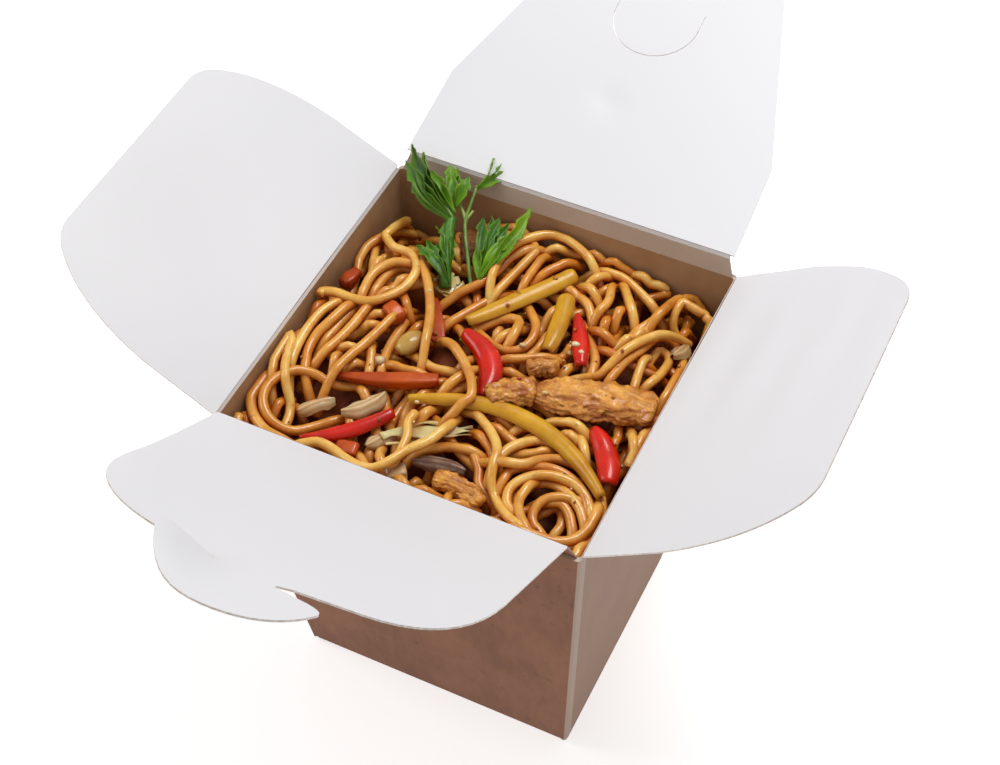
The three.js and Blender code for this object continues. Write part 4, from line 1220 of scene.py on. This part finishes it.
def back_flap_outline():
    length, inset, knee, end_inset, corner = 88.0, 1.8, 28.0, 21.3, 10.0
    half = TOP_X / 2
    end = half - end_inset
    right = [(half - inset, 0.0), (half - inset - 0.6, knee), (end + 0.3 * corner, length - corner)]
    right += quadratic(right[-1], (end, length), (end - corner, length))
    return mirrored(right)


def front_flap_outline():
    inset, side, shoulder, shoulder_half, length = 2.9, 38.6, 67.3, 26.5, 86.0
    neck_half, neck, wing_half, wing, mouth = 7.5, 68.9, 19.6, 71.4, 70.0
    half = TOP_X / 2 - inset
    notch_half = neck_half + 3.5
    right = [(half, 0.0), (half, side)]
    right += quadratic(right[-1], (half - 0.5, shoulder - 4), (shoulder_half, shoulder - 1.6))
    right += [(notch_half, shoulder), (neck_half, neck - 0.5), (neck_half, neck + 0.2),
              (notch_half + 3, mouth)]
    right += quadratic(right[-1], (wing_half + 1, wing - 0.6), (wing_half, wing + 2), 6)
    right += quadratic(right[-1], (0.74 * wing_half, length), (0, length))
    return mirrored(right)


def mirrored(right):
    """A closed outline from its right half, which runs from the fold line to the free end."""
    left = [(-x, y) for x, y in reversed(right) if x > 0.01]
    return np.array(right + left)


def half_moon_slit():
    radius, centre, arm, width = 12.4, 63.0, 5.0, 0.2
    angle = np.linspace(math.pi, 2 * math.pi, 25)
    rows = []
    for r in (radius + width / 2, radius - width / 2):
        rows.append([(-r, centre + arm)] + [(r * math.cos(t), centre + r * math.sin(t)) for t in angle]
                    + [(r, centre + arm)])
    return np.array(rows[0] + rows[1][::-1])


def sides_of(outline):
    """The sides of a closed outline, each as its two ends."""
    return zip(outline, np.roll(outline, -1, axis=0))


def within(outline, points):
    """Which points lie inside an outline."""
    x, y = points[:, 0], points[:, 1]
    inside = np.zeros(len(points), bool)
    for (x0, y0), (x1, y1) in sides_of(outline):
        crosses = (y0 > y) != (y1 > y)
        with np.errstate(divide="ignore", invalid="ignore"):
            at = x0 + (y - y0) * (x1 - x0) / (y1 - y0)
        inside ^= crosses & (x < at)
    return inside


def edge_distance(outline, points):
    """Distance from each point to an outline."""
    best = np.full(len(points), 1e9)
    for a, b in sides_of(outline):
        ab = b - a
        u = np.clip(((points - a) @ ab) / max(ab @ ab, 1e-9), 0, 1)
        best = np.minimum(best, np.linalg.norm(points - a - u[:, None] * ab, axis=1))
    return best


def split_outline(outline, step):
    """The outline with long sides split into short ones."""
    points = []
    for a, b in sides_of(outline):
        count = max(1, int(round(np.linalg.norm(b - a) / step)))
        points += [a + (b - a) * i / count for i in range(count)]
    return np.array(points)


GRID = 2.2                 # distance between the points of a flap


def cut_flat(outline, holes):
    """The points and triangles of a flat board with holes in it."""
    loops = [split_outline(outline, GRID)] + [split_outline(hole, 1.0) for hole in holes]
    gx, gy = np.meshgrid(*(np.arange(low, high, GRID) for low, high in zip(outline.min(0), outline.max(0))))
    inner = np.column_stack([gx.ravel(), gy.ravel()])
    inner = inner[within(loops[0], inner)]
    edges, first = [], 0
    for loop in loops:
        inner = inner[edge_distance(loop, inner) > 0.45 * GRID]
        edges += [(first + i, first + (i + 1) % len(loop)) for i in range(len(loop))]
        first += len(loop)
    points = [Vector(q) for q in np.vstack([*loops, inner])]
    flat, _, triangles, *_ = delaunay_2d_cdt(points, edges, [], 1, 1e-5)
    flat = np.array([tuple(q) for q in flat])
    centres = flat[np.array(triangles)].mean(1)
    kept = within(loops[0], centres)
    for loop in loops[1:]:
        kept &= ~within(loop, centres)
    return flat, [tuple(t) for t, keep in zip(triangles, kept) if keep]


# side: (middle of the fold line, turn about the vertical, angle above level)
FLAPS = {
    "left": ((-SIDE_HINGE_X, 0, SIDE_HINGE_Z), 90, 28.6),
    "right": ((SIDE_HINGE_X, 0, SIDE_HINGE_Z), -90, 33.9),
    "front": ((0, -END_HINGE_Y, END_HINGE_Z), 180, 32.4),
    "back": ((0, END_HINGE_Y, END_HINGE_Z), 0, 14.9),
}
INSIDE, OUTSIDE, CUT = range(3)


def board_sheet(side, outline, holes, bend, materials):
    """A flap of thin board: white inside, kraft outside, with cut edges and a gentle bend."""
    hinge, yaw, tilt = FLAPS[side]
    flat, triangles = cut_flat(outline, holes)
    count = len(flat)
    sides = [edge for a, b, c in triangles for edge in ((a, b), (b, c), (c, a))]
    shared = set(sides)
    rim = [(b, a, a + count, b + count) for a, b in sides if (b, a) not in shared]
    faces = triangles + [tuple(i + count for i in reversed(t)) for t in triangles] + rim
    kinds = [INSIDE] * len(triangles) + [OUTSIDE] * len(triangles) + [CUT] * len(rim)
    points = np.vstack([np.column_stack([flat, bend(*flat.T) + level]) for level in (BOARD / 2, -BOARD / 2)])
    turn = np.array(Matrix.Rotation(math.radians(yaw), 3, "Z") @ Matrix.Rotation(math.radians(tilt), 3, "X"))
    piece = mesh_object(f"{side}_flap_board", points @ turn.T + np.array(hinge), faces, *materials)
    mesh = piece.data
    mesh.polygons.foreach_set("material_index", kinds)
    mesh.polygons.foreach_set("use_smooth", [kind != CUT for kind in kinds])
    kinds_at = {}
    for polygon in mesh.polygons:
        for key in polygon.edge_keys:
            kinds_at.setdefault(key, set()).add(polygon.material_index)
    sharp = mesh.attributes.new("sharp_edge", "BOOLEAN", "EDGE")
    sharp.data.foreach_set("value", [len(kinds_at[edge.key]) > 1 for edge in mesh.edges])
    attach(piece, f"{side}_flap")
    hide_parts(f"flap_{side}")


def make_folds(materials):
    """The short bends of board between the carton's edges and the fold lines of the flaps."""
    side_x, end_y = TOP_X / 2, TOP_Y / 2 + RISER_LEAN
    half_side, half_end = TOP_Y / 2 - 1.4, TOP_X / 2 - RISER_END
    for name, sign in (("fold_right", 1), ("fold_left", -1)):
        fold_strip(name, (sign * (side_x - 0.25), -half_side, RIM_Z - 0.3), (0, 2 * half_side, 0),
                   (sign * (SIDE_HINGE_X - side_x + 0.25), 0, SIDE_HINGE_Z - RIM_Z + 0.4), materials)
    for name, sign in (("fold_back", 1), ("fold_front", -1)):
        fold_strip(name, (-half_end, sign * (end_y - 0.25), RIM_Z + RISER_H - 0.3), (2 * half_end, 0, 0),
                   (0, sign * (END_HINGE_Y - end_y + 0.25), END_HINGE_Z - RIM_Z - RISER_H + 0.4), materials)


def fold_strip(name, corner, along, rise, materials):
    """A narrow strip of board, white on the side of the food and kraft on the other."""
    corner, along, rise = (np.array(v, float) for v in (corner, along, rise))
    across = np.cross(along, rise)
    across *= BOARD / 2 / np.linalg.norm(across)
    points = [corner + end * along + v * rise + u * across
              for end in (0, 1) for u, v in ((-1, 0), (1, 0), (1, 1), (-1, 1))]
    faces = [(0, 1, 2, 3), (7, 6, 5, 4), (0, 4, 5, 1), (1, 5, 6, 2), (2, 6, 7, 3), (3, 7, 4, 0)]
    piece = mesh_object(name, points, faces, *materials, smooth=False)
    for polygon in piece.data.polygons:
        outward = polygon.normal.x * polygon.center.x + polygon.normal.y * polygon.center.y
        polygon.material_index = OUTSIDE if outward > 0 else INSIDE
    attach(piece, "box")


def left_bend(s, t):
    return 1.2 * (t / 58) ** 2 - swell(s, t, 1.0, 0, 30, 18)


def right_bend(s, t):
    """The right flap is a little wavy along one side."""
    return 0.25 * np.sin(t / 2.6 + s / 30) * np.exp(-((s + 18) / 26) ** 2) + 0.8 * (t / 58) ** 2


def front_bend(s, t):
    """The front flap curls up at one shoulder, and the tongue's wing there laps over the shoulder."""
    past_slit = np.where(s > 7.5, t > 69.3, np.clip((t - 62) / 10, 0, 1))
    return swell(s, t, 3.5, 46, 62, 16) + swell(s, t, 6.5, 20, 74, 7.5) * past_slit


def back_bend(s, t):
    return 1.0 * (t / 88) ** 2 + swell(s, t, -0.5, -2, 33, 3)


def make_board(frame):
    node = frame["nodes"]["carton"]
    node.data.materials.clear()
    node.data.materials.append(carton_board())
    materials = coated_board(), kraft_board(), cut_edge()
    make_folds(materials[:CUT])
    board_sheet("left", side_flap_outline(), [], left_bend, materials)
    board_sheet("right", side_flap_outline(), [], right_bend, materials)
    board_sheet("front", front_flap_outline(), [], front_bend, materials)
    board_sheet("back", back_flap_outline(), [half_moon_slit()], back_bend, materials)


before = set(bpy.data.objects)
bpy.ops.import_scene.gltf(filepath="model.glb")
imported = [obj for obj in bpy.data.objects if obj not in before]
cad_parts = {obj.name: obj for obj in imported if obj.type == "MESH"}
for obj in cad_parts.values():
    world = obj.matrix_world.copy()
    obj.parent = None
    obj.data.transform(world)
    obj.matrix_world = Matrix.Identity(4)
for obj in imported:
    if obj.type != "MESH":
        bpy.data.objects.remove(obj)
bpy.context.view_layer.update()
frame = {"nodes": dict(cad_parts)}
make_camera()
make_light()
make_stage()
make_board(frame)
make_food()
make_parsley(np.random.default_rng(5))
